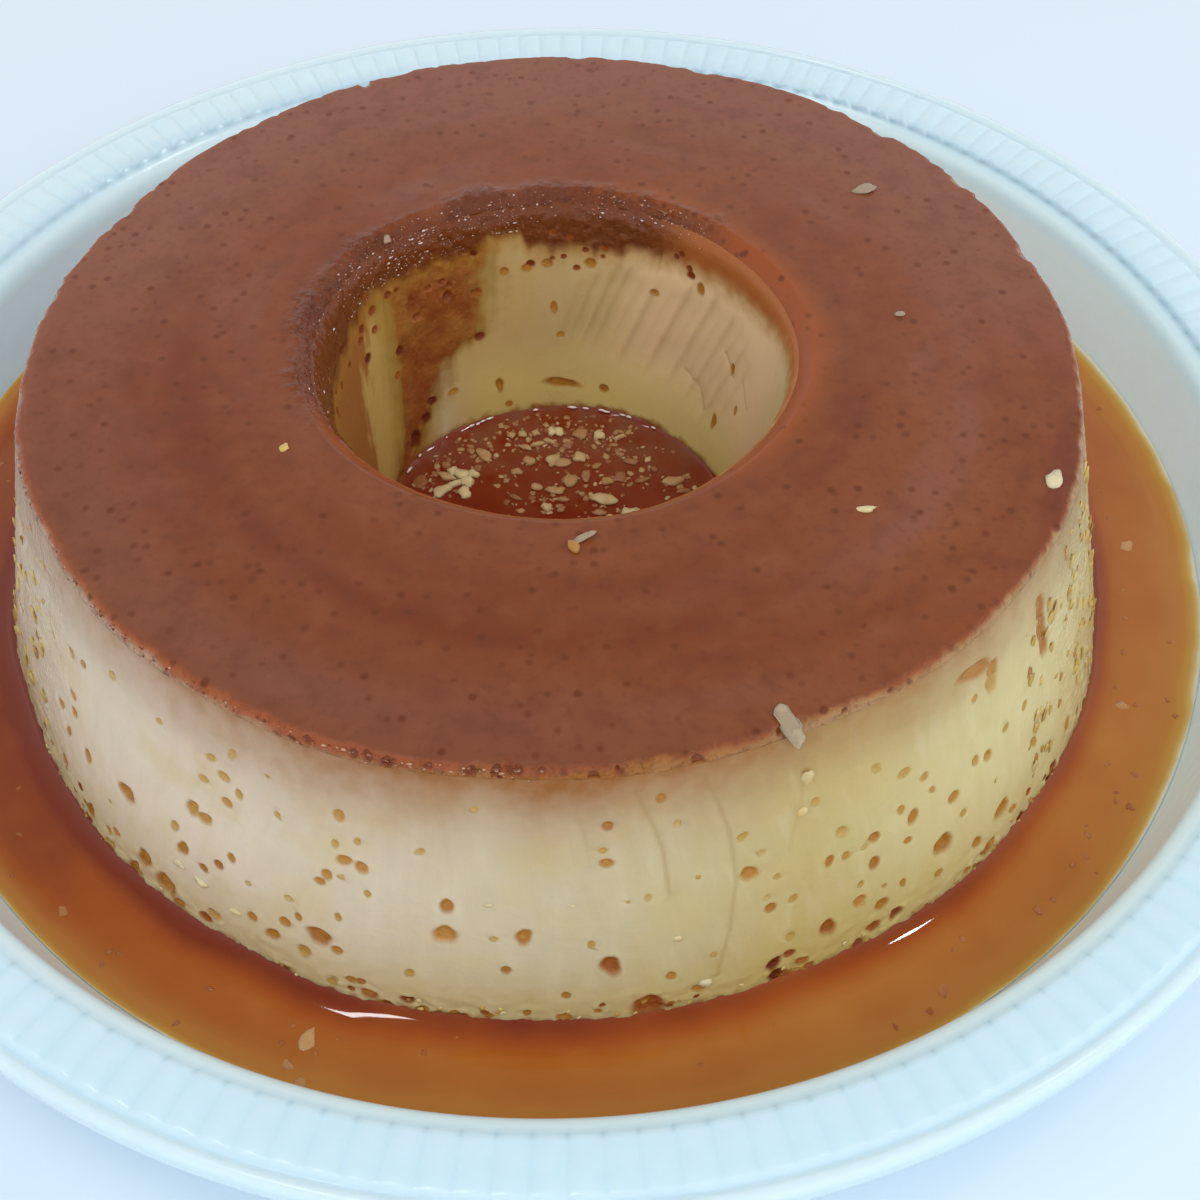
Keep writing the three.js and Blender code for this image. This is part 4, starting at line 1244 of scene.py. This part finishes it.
class FLAN_OT_soaked_top(bpy.types.Operator):
    """Spins the caramel-soaked layer, chips its outer edge and crumbles the rim of the hole"""

    bl_idname = "flan.soaked_top"
    bl_label = "Soaked top"

    def execute(self, context):
        settings = context.scene.flan_body
        edge = [
            (TOP_RADIUS - EDGE_ROUND * inset, TOP_HEIGHT - depth)
            for inset, depth in (
                (0, 2.0), (0.02, 1.6), (0.08, 1.2), (0.2, 0.8), (0.38, 0.45), (0.6, 0.18),
                (0.82, 0.04), (1.0, 0.0),
            )
        ]
        lip = HOLE_TOP + FLARE_REACH
        outer = np.linspace(TOP_RADIUS - EDGE_ROUND, lip + 8, 34)[1:]
        inner = np.linspace(lip + 7.5, lip, 16)
        top = [(radius, TOP_HEIGHT) for radius in (*outer, *inner)]
        rim = [
            (HOLE_TOP + flare(depth), TOP_HEIGHT - depth)
            for depth in (0.15, 0.4, 0.7, 1.0, 1.3, 1.65, 2.0)
        ]
        under = [(60, CEILING)]
        layer = spun("soaked_top_layer", edge + top + rim + under, settings.columns)
        place_on_flan(layer, FOOT_HEIGHT, 0)

        spots = [wall_spot(at, CEILING) for at, _, _ in EDGE_HOLES]
        spots = [(x, y, TOP_HEIGHT - (y - FLAN_Y) * SLOPE - 1) for x, y, _ in spots]
        refine_near(layer, np.array(spots), [1.9] * len(spots))
        x, y, z = points_of(layer)
        angle, radius = flan_angle(x, y), np.hypot(x, y - FLAN_Y)
        degrees = np.degrees(angle)
        rng = random.Random(5)
        chips = [
            (rng.uniform(-180, 180), rng.uniform(0.25, 1.1), rng.uniform(0.1, 0.5))
            for _ in range(EDGE_CHIPS)
        ]
        bite = np.zeros(len(x))
        for at, wide, deep in chips + list(EDGE_NOTCHES):
            away = np.abs(turned(degrees, at)) / wide
            bite = np.maximum(bite, deep * (1 - smoothstep(away, 0.5, 1.3)))
        from_edge = side_radius(angle, 1) - radius
        depth = top_height(angle, radius) - z
        bite *= (1 - smoothstep(from_edge, 0.8, 4.0)) * (1 - smoothstep(depth, 0.9, 1.9))
        pit = np.zeros(len(x))
        for at, down, size in EDGE_HOLES:
            along = np.radians(degrees - at) * radius
            pit = np.maximum(pit, 1 - smoothstep(np.hypot(along, depth - down) / size, 0.55, 1.1))
        pit *= from_edge < 2
        from_hole = radius - hole_radius(angle, 1)
        # The rim is wet and broken at the back left of the hole, and clear amber at its right
        wet = 1 - smoothstep(np.abs(turned(degrees, 125)), 62, 95)
        glow = 1 - smoothstep(np.abs(turned(degrees, 20)), 45, 85)
        ragged = from_hole + wander(angle, 6, 1.3, 61) + wander(angle, 2, 0.8, 62)
        broken = wet * (1 - smoothstep(ragged, 2.2, 6.5))
        edge_wet = 0.6 * (1 - smoothstep(from_edge, 0.3, 1.6)) * (depth > 0.02)
        # The outer edge is a little rough, which makes its wet line glitter
        chance = np.random.default_rng(9).normal(0, 0.11, len(x)) * (depth < 1.9)
        inset = bite + 0.5 * pit + chance * edge_wet
        x -= inset * np.cos(angle)
        y -= inset * np.sin(angle)
        put_points(layer, x, y, z)

        # Painted sheen: the outer edge at the front left is painted a greyer purple-brown
        away = np.abs(turned(degrees, -122))
        dusk = (1 - smoothstep(away, 25, 70)) * smoothstep(radius, 70, 80)
        # The front left took up the most caramel, in a broad ring, and the back the least; the
        # back's paler grey is painted sheen
        ring = np.exp(-(((radius - 63) / 12) ** 2)) * (1 - smoothstep(away, 45, 85))
        inner_ring = 0.24 * np.exp(-(((radius - 49) / 7) ** 2)) * (1 - 0.6 * wet)
        # It settled in arcs where the syrup ran round before it set
        waves = np.sin(0.62 * radius + 1.8 * np.sin(2 * angle + 1))
        arcs = 0.8 + 0.28 * waves * (1 - smoothstep(away, 60, 100))
        ember = np.maximum(0.75 * ring, inner_ring) * arcs
        # Painted sheen: the back of the top is painted paler and greyer
        behind = 1 - smoothstep(np.abs(turned(degrees, 90)), 70, 105)
        calm = 1 - 0.75 * wet
        front_right = 1 - smoothstep(np.abs(turned(degrees, -50)), 30, 60)
        thin_line = 1 - smoothstep(from_edge, 0.3, 1.8 - 0.8 * front_right)
        own_side = depth + edge_wobble(angle) * 0.5 + 0.3 * front_right
        paint(
            layer,
            hole_rim=0.85 * calm * (1 - smoothstep(from_hole, 2.2, 3.8 + 2 * glow)),
            hole_glow=0.5 * glow * (1 - smoothstep(from_hole, 2.5, 9.0)),
            dark_rim=0.7 * wet * (1 - smoothstep(ragged, 1.5, 6.0)),
            outer_edge=(0.9 - 0.4 * front_right) * thin_line,
            side=(from_edge < 1) * smoothstep(own_side, 0.5, 1.5),
            caramel=caramel_share(depth + edge_wobble(angle), degrees),
            ember=ember,
            ash=0.6 * behind * smoothstep(radius, 56, 78),
            dusk=0.6 * dusk,
            pit=pit,
            broken=np.maximum(broken, edge_wet),
            round_about=np.stack([1.1 * np.cos(angle), 1.1 * np.sin(angle), radius / 12.0], 1),
        )
        roughen(layer, "Skin", 9.0, 0.22)
        roughen(layer, "Torn rim", 1.4, 1.1, broken * (depth < 1.9))
        smooth(layer, 60)
        finish_piece(layer, soaked_material(settings), "caramel_top", "caramel_top")
        return {"FINISHED"}


def syrup_material(name, colours):
    """Caramel syrup: clear amber sugar, mirror-wet, darker where it is deeper."""
    material, tree = new_material(name)
    place = node(tree, "TexCoord").outputs["Object"]
    depth = node(tree, "Attribute", attribute_name="depth").outputs["Fac"]
    # Fine custard dust hangs in it and lightens it in soft clouds, about 18 mm across
    swirl = node(tree, "TexNoise", {"Vector": place, "Scale": 55, "Detail": 3}).outputs["Fac"]
    cloud = node(tree, "MapRange", dict(enumerate((swirl, 0.35, 0.7, 0.05, -0.06)))).outputs[0]
    level = node(tree, "Math", {0: depth, 1: cloud}, operation="ADD").outputs["Value"]
    stops = (0.02, 0.07, 0.16, 0.34, 0.55, 0.8, 1)
    colour = node(
        tree, "ValToRGB", {"Fac": level}, ramp=list(zip(stops, colours))
    ).outputs["Color"]
    # Where torn custard has settled the syrup is cloudy, in patches of 5 mm
    dust = node(tree, "Attribute", attribute_name="dust").outputs["Fac"]
    patches = node(tree, "TexNoise", {"Vector": place, "Scale": 200, "Detail": 4}).outputs["Fac"]
    patches = node(tree, "MapRange", dict(enumerate((patches, 0.35, 0.65, 0, 1)))).outputs["Result"]
    cloudy = node(tree, "Math", {0: dust, 1: patches}, operation="MULTIPLY").outputs["Value"]
    links = {"Factor": cloudy, "A": colour, "B": linear("#7a4a34")}
    colour = node(tree, "Mix", links, data_type="RGBA").outputs["Result"]
    shader = node(
        tree, "BsdfPrincipled",
        {
            "Base Color": colour,
            "Roughness": 0.035,
            "IOR": 1.48,
            "Subsurface Weight": 0.15,
            "Subsurface Radius": (0.004, 0.002, 0.0008),
            "Subsurface Scale": 1.0,
        },
    )
    node(tree, "OutputMaterial", {"Surface": shader.outputs["BSDF"]})
    return material


def well_radius(height):
    """Radius of the plate's inside at a height within the bend."""
    return FLOOR_RADIUS + FILLET * math.sin(math.acos(1 - (height - SHEET) / FILLET))


class FLAN_OT_syrup(bpy.types.Operator):
    """Fills the plate round the flan and the bottom of its hole, drawn up a little at the edges"""

    bl_idname = "flan.syrup"
    bl_label = "Syrup"

    def execute(self, context):
        settings = context.scene.flan_syrup
        level = settings.level / MM
        # The pool is drawn between radius 1 and 2, which stand for the flan and the plate
        shares = (0.004, 0.02, 0.04, 0.065, 0.1, 0.14, 0.2, 0.28, 0.38, 0.5, 0.6, 0.7, 0.78, 0.85,
                  0.9, 0.94, 0.97, 0.99, 1.0)
        surface = [(1 + share, level) for share in shares]
        below = [(2, lerp(level, FOOT_HEIGHT, 0.35)), (2, lerp(level, FOOT_HEIGHT, 0.7))]
        floor = [(2, FOOT_HEIGHT), (1, FOOT_HEIGHT)]
        pool = spun("syrup_round_flan", surface + below + floor + [(1, level)], MOAT_COLUMNS)
        x, y, z = points_of(pool)
        angle, share = np.arctan2(y, x), np.hypot(x, y) - 1
        at_surface = z > level - 0.01
        up = np.clip((z - FOOT_HEIGHT) / (CEILING - FOOT_HEIGHT), 0, 1)
        inner = side_radius(angle, up) - 0.35  # a little inside the custard, so no gap shows
        # The pool's outer rows follow the plate's bend, a hair inside it
        rows = {height: well_radius(height) - 0.03 for height in np.unique(np.round(z, 5))}
        rows[min(rows)] = FLOOR_RADIUS
        outer = np.array([rows[height] for height in np.round(z, 5)])
        near = np.stack([inner * np.cos(angle), FLAN_Y + inner * np.sin(angle)])
        far = np.stack([outer * np.cos(angle), outer * np.sin(angle)])
        x, y = lerp(near, far, share)
        from_flan = share * np.hypot(*(far - near))
        from_plate = np.hypot(*(far - near)) - from_flan
        climb = 1 + 0.06 * np.sin(9 * angle + 1) * np.sin(14 * angle)
        rise = MENISCUS_AT_FLAN * climb * np.exp(-from_flan / 1.6)
        rise += MENISCUS_AT_PLATE * np.exp(-from_plate / 0.7)
        z = z + rise * at_surface
        put_points(pool, x, y, z)
        radius = np.hypot(x, y)
        over_bend = np.maximum(0, radius - FLOOR_RADIUS)
        bed = SHEET + FILLET - np.sqrt(np.maximum(0, FILLET**2 - over_bend**2))
        depth = np.clip((level - bed) / (level - SHEET), 0, 1)
        # The syrup is darker on the left, and a band by the foot is painted darker for the flan's
        # shade and its reflection in it
        around = np.degrees(angle) % 360
        fill = np.interp(
            around,
            [0, 12, 25, 120, 160, 190, 215, 228, 240, 255, 270, 285, 325, 345, 360],
            [0.69, 0.75, 0.77, 0.68, 0.8, 0.97, 0.92, 0.81, 0.75, 0.68, 0.64, 0.61, 0.6, 0.66,
             0.69],
        )
        by_foot = 1 - smoothstep(from_flan, 0.5, 5 + 2.5 * smoothstep(-np.sin(angle), 0.6, 1))
        right = 1 - smoothstep(np.abs(turned(around, 5)), 25, 50)
        in_front = np.exp(-(((around - 285) / 30) ** 2))
        depth = depth * fill * (1 - 0.8 * right * np.exp(-from_plate / 4.0))
        depth += (0.26 + 0.06 * in_front) * by_foot
        paint(pool, depth=depth)
        smooth(pool, 60)
        deep, thin = (*settings.deep, 1), (*settings.thin, 1)
        shallow = linear("#dcd6bc"), linear("#cdb070"), thin, linear("#b5772c")
        tones = *shallow, linear("#b06f2c"), deep, linear("#782a0c")
        finish_piece(pool, syrup_material("caramel_syrup", tones), "syrup", "syrup_pool")

        shares = (0.03, 0.12, 0.24, 0.36, 0.48, 0.6, 0.7, 0.78, 0.85, 0.9, 0.94, 0.97, 0.99, 0.998)
        rings = [(WELL_DRAWN * share, level) for share in shares]
        rings += [(99.8, lerp(level, FOOT_HEIGHT, 0.5)), (99.8, FOOT_HEIGHT), (30, FOOT_HEIGHT)]
        pool = extruded_disc("syrup_in_hole_pool", rings, WELL_COLUMNS, lid=True)
        x, y, z = points_of(pool)
        angle, share = np.arctan2(y, x), np.hypot(x, y) / WELL_DRAWN
        up = np.clip((z - FOOT_HEIGHT) / (CEILING - FOOT_HEIGHT), 0, 1)
        wall = hole_radius(angle, up)
        radius = share * wall
        climb = 0.7 + 0.15 * np.sin(13 * angle + 1) * np.sin(19 * angle) + 0.1 * np.sin(37 * angle)
        rise = MENISCUS_AT_FLAN * climb * np.exp(-(wall - radius) / 0.7) * (z > level - 0.01)
        put_points(pool, radius * np.cos(angle), FLAN_Y + radius * np.sin(angle), z + rise)
        depth = 0.9 - 0.12 * np.exp(-(wall - radius) / 1.0)
        dust = 0.05 + 0.75 * smoothstep(radius * np.sin(angle), 6, 24)
        paint(pool, depth=depth, dust=dust)
        smooth(pool, 60)
        tones = *shallow, linear("#a05c20"), linear("#842f0f"), linear("#70200a")
        finish_piece(pool, syrup_material("shaded_caramel_syrup", tones), "syrup", "syrup_in_hole")
        return {"FINISHED"}


def crumb_material(name, tones, shine):
    """Bits of torn custard: matt and pale, or stained by the syrup that they lie in."""
    material, tree = new_material(name)
    place = node(tree, "TexCoord")
    # A mottle 2 mm across shifts each bit's own tone a little
    tone = node(tree, "Attribute", attribute_name="tone").outputs["Fac"]
    mottle = node(tree, "TexNoise", {"Vector": place.outputs["Object"], "Scale": 480, "Detail": 2})
    mixed = node(
        tree, "Math", {0: mottle.outputs["Fac"], 1: 0.35, 2: tone}, operation="MULTIPLY_ADD"
    )
    stops = np.linspace(0.25, 1, len(tones))
    colour = node(
        tree, "ValToRGB", {"Fac": mixed.outputs["Value"]},
        ramp=[(stop, linear(code)) for stop, code in zip(stops, tones)],
    )
    bump = node(
        tree, "Bump", {"Height": mottle.outputs["Fac"], "Strength": 0.3, "Distance": 0.0003}
    )
    shader = node(
        tree, "BsdfPrincipled",
        {
            "Base Color": colour.outputs["Color"],
            "Roughness": shine,
            "IOR": 1.4,
            "Subsurface Weight": 0.3,
            "Subsurface Radius": (0.001, 0.0008, 0.0005),
            "Subsurface Scale": 1.0,
            "Normal": bump.outputs["Normal"],
        },
    )
    node(tree, "OutputMaterial", {"Surface": shader.outputs["BSDF"]})
    return material


def joined(parts):
    """Joins pieces into the first of them."""
    select_only(*parts)
    bpy.ops.object.join()
    return bpy.context.object


def scattered(name, lumps, seed, steps=2):
    """One piece of many lumps: place, half sizes, turn and tilt in radians, and how pale."""
    rng = random.Random(seed)
    batches, parts = [], []
    for number, ((x, y, z), (long, wide, high), turn, tilt, pale) in enumerate(lumps, 1):
        deselect()
        bpy.ops.mesh.primitive_ico_sphere_add(subdivisions=steps, radius=MM)
        part = bpy.context.object
        ways = [rng.uniform(0, TURN) for _ in range(4)]
        px, py, pz = points_of(part)
        bend = 1 + 0.24 * np.sin(3 * px + ways[0]) * np.sin(3 * py + ways[1])
        bend += 0.18 * np.sin(5 * px + ways[2]) * np.cos(4 * py + ways[3])
        px, py, pz = px * bend * long, py * bend * wide, pz * bend * high
        pz, px = (
            pz * math.cos(tilt) + px * math.sin(tilt), px * math.cos(tilt) - pz * math.sin(tilt)
        )
        put_points(
            part,
            x + px * math.cos(turn) - py * math.sin(turn),
            y + px * math.sin(turn) + py * math.cos(turn),
            z + pz,
        )
        paint(part, tone=np.full(len(px), pale))
        parts.append(part)
        if len(parts) == BATCH or number == len(lumps):
            batches.append(joined(parts))
            parts = []
    joined(batches)
    piece = name_piece(name)
    smooth(piece, 80)
    return piece


def flakes_on_flan(rng):
    """Flakes that lie on the top, and curds that hang on the side."""
    flakes = []
    for x, y, above, size, turn, tilt, pale in TOP_FLAKES:
        place = x, FLAN_Y + y, TOP_HEIGHT - y * SLOPE + above
        flakes.append((place, size, turn, tilt, pale))
    curds = list(SIDE_CURDS)
    # Yellow curds at the far sides, and small ones just above the syrup in front
    for low, high, floor, ceiling, count in (
        (-38, -14, 12, 49, 95), (-168, -148, 10, 49, 45), (-150, -30, 6.3, 9.0, 60),
    ):
        for _ in range(count):
            size = rng.uniform(0.3, 0.6) if floor < 7 else rng.uniform(0.5, 1.0)
            place = rng.uniform(low, high), rng.uniform(floor, ceiling)
            stretch = 1 if floor < 7 else rng.uniform(1.2, 2.8)
            curds.append((*place, size, size * stretch, rng.uniform(0.1, 0.45)))
    for degrees, height, wide, high, pale in curds:
        place = wall_spot(degrees, height)
        flakes.append((place, (0.45 * wide, wide, high), math.radians(degrees), 0, pale))
    return flakes


def crumbs_on_pool(rng):
    """Torn custard that floats in the hole."""
    crumbs = []
    for x, y, long, wide, pale in HOLE_CRUMBS:
        in_clump = 1.3 if x < -15 and 8 < y < 15 else 1
        place = x, FLAN_Y + y, SYRUP_LEVEL + 0.05 + 0.3 * pale
        shape = long * in_clump, wide * 0.85 * in_clump, 0.3 + 0.35 * pale * in_clump
        crumbs.append((place, shape, rng.uniform(-0.6, 0.6), 0, 0.85 * pale - 0.05))
    for count in range(SMALL_CRUMBS):
        # The small ones lie round the large ones, and the finest dust along the back
        x, y = rng.choice(HOLE_CRUMBS)[:2]
        x, y = x + rng.gauss(0, 2.4), y + rng.gauss(0, 1.8)
        if count >= SMALL_CRUMBS - CRUMBS_AT_BACK:
            angle, reach = rng.gauss(math.radians(100), 0.6), rng.uniform(22, CRUMBS_WITHIN)
            x, y = reach * math.cos(angle), reach * math.sin(angle)
        if math.hypot(x, y) > CRUMBS_WITHIN:
            continue
        size = 0.25 + 0.6 * rng.random() ** 1.5
        shape = size, size * rng.uniform(0.5, 0.95), 0.2
        place = x, FLAN_Y + y, SYRUP_LEVEL + 0.02
        crumbs.append((place, shape, rng.uniform(0, TURN), 0, rng.uniform(0.05, 0.6)))
    return crumbs


def crumbs_in_moat(rng):
    """Flakes that lie just under the syrup round the flan."""
    sunk = []
    for x, y, size, pale in MOAT_FLAKES:
        place = x, FLAN_Y + y, SYRUP_LEVEL + 0.02
        sunk.append((place, (size, size * 0.7, 0.14), rng.uniform(0, TURN), 0, pale))
    for _ in range(SUNK_CRUMBS):
        angle = rng.uniform(0, TURN)
        inner = side_radius(angle, 0.1)
        reach = inner + 0.8 + (115.5 - inner) * rng.random() ** 1.6
        size = rng.uniform(0.3, 0.75)
        place = reach * math.cos(angle), FLAN_Y / 2 + reach * math.sin(angle), SYRUP_LEVEL
        shape = size, size * rng.uniform(0.5, 0.9), 0.11
        sunk.append((place, shape, rng.uniform(0, TURN), 0, rng.uniform(0, 0.4)))
    return sunk


def beads_of_syrup(rng):
    """Drops along the torn rim of the hole and the left edge, whose paler ones are painted glints,
    and white beads painted as glints at the back.
    """
    beads = []
    clumps = [rng.uniform(96, 158) for _ in range(40)]
    for count in range(RIM_BEADS):
        degrees = rng.choice(clumps) + rng.gauss(0, 2.5)
        if count < SPREAD_BEADS:
            degrees = rng.uniform(48, 84) if count < BACK_BEADS else rng.uniform(60, 205)
        down = 0.5 + rng.random() ** 1.2 * lerp(3.5, 7.5, smoothstep(degrees, 85, 115))
        angle = math.radians(degrees)
        x, y, height = wall_spot(degrees, TOP_HEIGHT - down, True)
        out = flare(down) * 0.97
        x, y = x + out * math.cos(angle), y + out * math.sin(angle)
        size = 0.05 + 0.13 * rng.random() ** 2.5
        shape = size, size * rng.uniform(1, 2.6), size
        height += top_height(angle, HOLE_TOP) - TOP_HEIGHT
        # The paler beads are painted sparkles of the wet rim
        pale = rng.choice((0.1, 0.2, 0.3, 0.4, 0.5, 0.75))
        beads.append(((x, y, height), shape, angle, 0, pale))
    # White beads painted as glints of the syrup
    for degrees in GLINTS:
        x, y, height = wall_spot(degrees, SYRUP_LEVEL + 0.85, True)
        angle, inwards = math.radians(degrees), rng.uniform(0.5, 1.1)
        place = x - inwards * math.cos(angle), y - inwards * math.sin(angle), height
        beads.append((place, (0.28, rng.uniform(0.5, 1.2), 0.26), angle, 0, 1.2))
    # The paler beads along the left edge are painted glints
    for _ in range(EDGE_BEADS):
        degrees = -92 - 70 * rng.random() ** 1.6
        angle = math.radians(degrees)
        x, y, height = wall_spot(degrees, TOP_HEIGHT - 0.2 - 1.6 * rng.random())
        height += top_height(angle, TOP_RADIUS) - TOP_HEIGHT
        size = rng.uniform(0.08, 0.22)
        shape = size, size * rng.uniform(1, 2.4), size
        beads.append(((x, y, height), shape, angle, 0, rng.choice((0.0, 0.2, 0.4))))
    return beads


class FLAN_OT_crumbs(bpy.types.Operator):
    """Scatters flakes on the top, crumbs on the syrup, and beads of syrup with painted glints along
    the hole's rim
    """

    bl_idname = "flan.crumbs"
    bl_label = "Crumbs and beads"

    def execute(self, context):
        rng = random.Random(3)
        for name, lumps, seed, steps, finish, tones, shine, slot, solid in (
            ("top_flakes", flakes_on_flan, 41, 2, "torn_custard_flakes",
             ("#a87840", "#ccb066", "#d2c7a4", "#9c8b72"), 0.3, "custard", "custard"),
            ("crumbs_in_hole", crumbs_on_pool, 42, 2, "syrup_wet_crumbs",
             ("#945a3a", "#b48c62", "#d8c898"), 0.18, "custard", "custard"),
            ("crumbs_round_flan", crumbs_in_moat, 44, 2, "sunk_crumbs",
             ("#9f5a2c", "#b0703f", "#c49a68"), 0.1, "custard", "custard"),
            # Beads of syrup whose paler tones are painted glints
            ("syrup_beads", beads_of_syrup, 45, 1, "syrup_droplets",
             ("#6b3016", "#bd8c70", "#f6e6e2"), 0.05, "syrup", "syrup_in_hole"),
        ):
            piece = scattered(name, lumps(rng), seed, steps)
            finish_piece(piece, crumb_material(finish, tones, shine), slot, solid)
        return {"FINISHED"}


class FLAN_OT_stage(bpy.types.Operator):
    """Sets the table, the soft room light, two small ceiling lamps and the camera"""

    bl_idname = "flan.stage"
    bl_label = "Stage"

    def execute(self, context):
        settings = context.scene.flan_stage
        deselect()
        bpy.ops.mesh.primitive_plane_add(size=6, location=(0, 0, PLATE_LOW.z * MM))
        table = name_piece("table_top")
        material, tree = new_material("laminate_table")
        shader = node(
            tree, "BsdfPrincipled", {"Base Color": (*settings.table, 1), "Roughness": 0.55}
        )
        node(tree, "OutputMaterial", {"Surface": shader.outputs["BSDF"]})
        table.data.materials.append(material)

        # The room is brighter at the height of its walls than at its ceiling
        world = bpy.data.worlds.new("room")
        context.scene.world = world
        world.use_nodes = True
        tree = world.node_tree
        way = node(tree, "TexCoord")
        up = node(tree, "SeparateXYZ", {"Vector": way.outputs["Generated"]})
        steps = ((0.0, 0.92), (0.5, 0.9), (0.62, 0.72), (0.74, 0.6), (0.82, 0.42), (0.92, 0.3))
        sky = node(
            tree, "ValToRGB", {"Fac": up.outputs["Z"]},
            ramp=[(at, (light, light * 0.99, light * 1.01, 1)) for at, light in steps],
        )
        background = tree.nodes["Background"]
        tree.links.new(sky.outputs["Color"], background.inputs["Color"])
        background.inputs["Strength"].default_value = settings.sky

        def area(name, place, size, power, mirrored=True):
            deselect()
            bpy.ops.object.light_add(type="AREA", location=place)
            light = bpy.context.object
            light.name = name
            light.data.shape = "RECTANGLE"
            light.data.size, light.data.size_y = size
            light.data.energy = power
            light.visible_glossy = mirrored
            aim = -light.location
            light.rotation_euler = aim.to_track_quat("-Z", "Y").to_euler()

        area("softbox", (0.0, -0.6, 1.15), (1.1, 1.1), settings.softbox, False)
        area("fill", (0.75, -0.4, 0.7), (0.6, 0.6), settings.fill, False)
        area("lamp_left", (-0.29, -0.02, 1.17), (0.4, 0.04), settings.lamp)
        area("lamp_right", (0.5, 0.1, 1.08), (0.12, 0.035), 0.6 * settings.lamp)

        camera = bpy.data.cameras.new("camera")
        camera.lens, camera.sensor_width = LENS, SENSOR
        camera.clip_start = 0.01
        eye = bpy.data.objects.new("camera", camera)
        context.scene.collection.objects.link(eye)
        eye.location = CAMERA_PLACE
        eye.rotation_euler = (math.radians(CAMERA_TILT), 0, 0)
        context.scene.camera = eye
        context.scene.view_settings.view_transform = "Standard"
        return {"FINISHED"}


class FLAN_PT_panel(bpy.types.Panel):
    bl_idname = "FLAN_PT_panel"
    bl_label = "Leche flan"
    bl_space_type = "VIEW_3D"
    bl_region_type = "UI"
    bl_category = "Flan"

    def draw(self, context):
        for group in ("flan_plate", "flan_body", "flan_syrup", "flan_stage"):
            settings = getattr(context.scene, group)
            box = self.layout.box()
            for name in settings.bl_rna.properties.keys():
                if name not in ("rna_type", "name"):
                    box.prop(settings, name)
        for operator in OPERATORS:
            self.layout.operator(operator.bl_idname)


OPERATORS = (
    FLAN_OT_plate,
    FLAN_OT_custard,
    FLAN_OT_soaked_top,
    FLAN_OT_syrup,
    FLAN_OT_crumbs,
    FLAN_OT_stage,
)
GROUPS = {
    "flan_plate": PlateSettings,
    "flan_body": FlanSettings,
    "flan_syrup": SyrupSettings,
    "flan_stage": StageSettings,
}


def register():
    for cls in (*GROUPS.values(), *OPERATORS, FLAN_PT_panel):
        bpy.utils.register_class(cls)
    for name, cls in GROUPS.items():
        setattr(bpy.types.Scene, name, bpy.props.PointerProperty(type=cls))


def unregister():
    for name in GROUPS:
        delattr(bpy.types.Scene, name)
    for cls in (FLAN_PT_panel, *reversed(OPERATORS), *reversed(list(GROUPS.values()))):
        bpy.utils.unregister_class(cls)


def main():
    register()
    bpy.ops.flan.stage()
    bpy.ops.flan.plate()
    bpy.ops.flan.custard()
    bpy.ops.flan.soaked_top()
    bpy.ops.flan.syrup()
    bpy.ops.flan.crumbs()


if __name__ == "__main__":
    main()
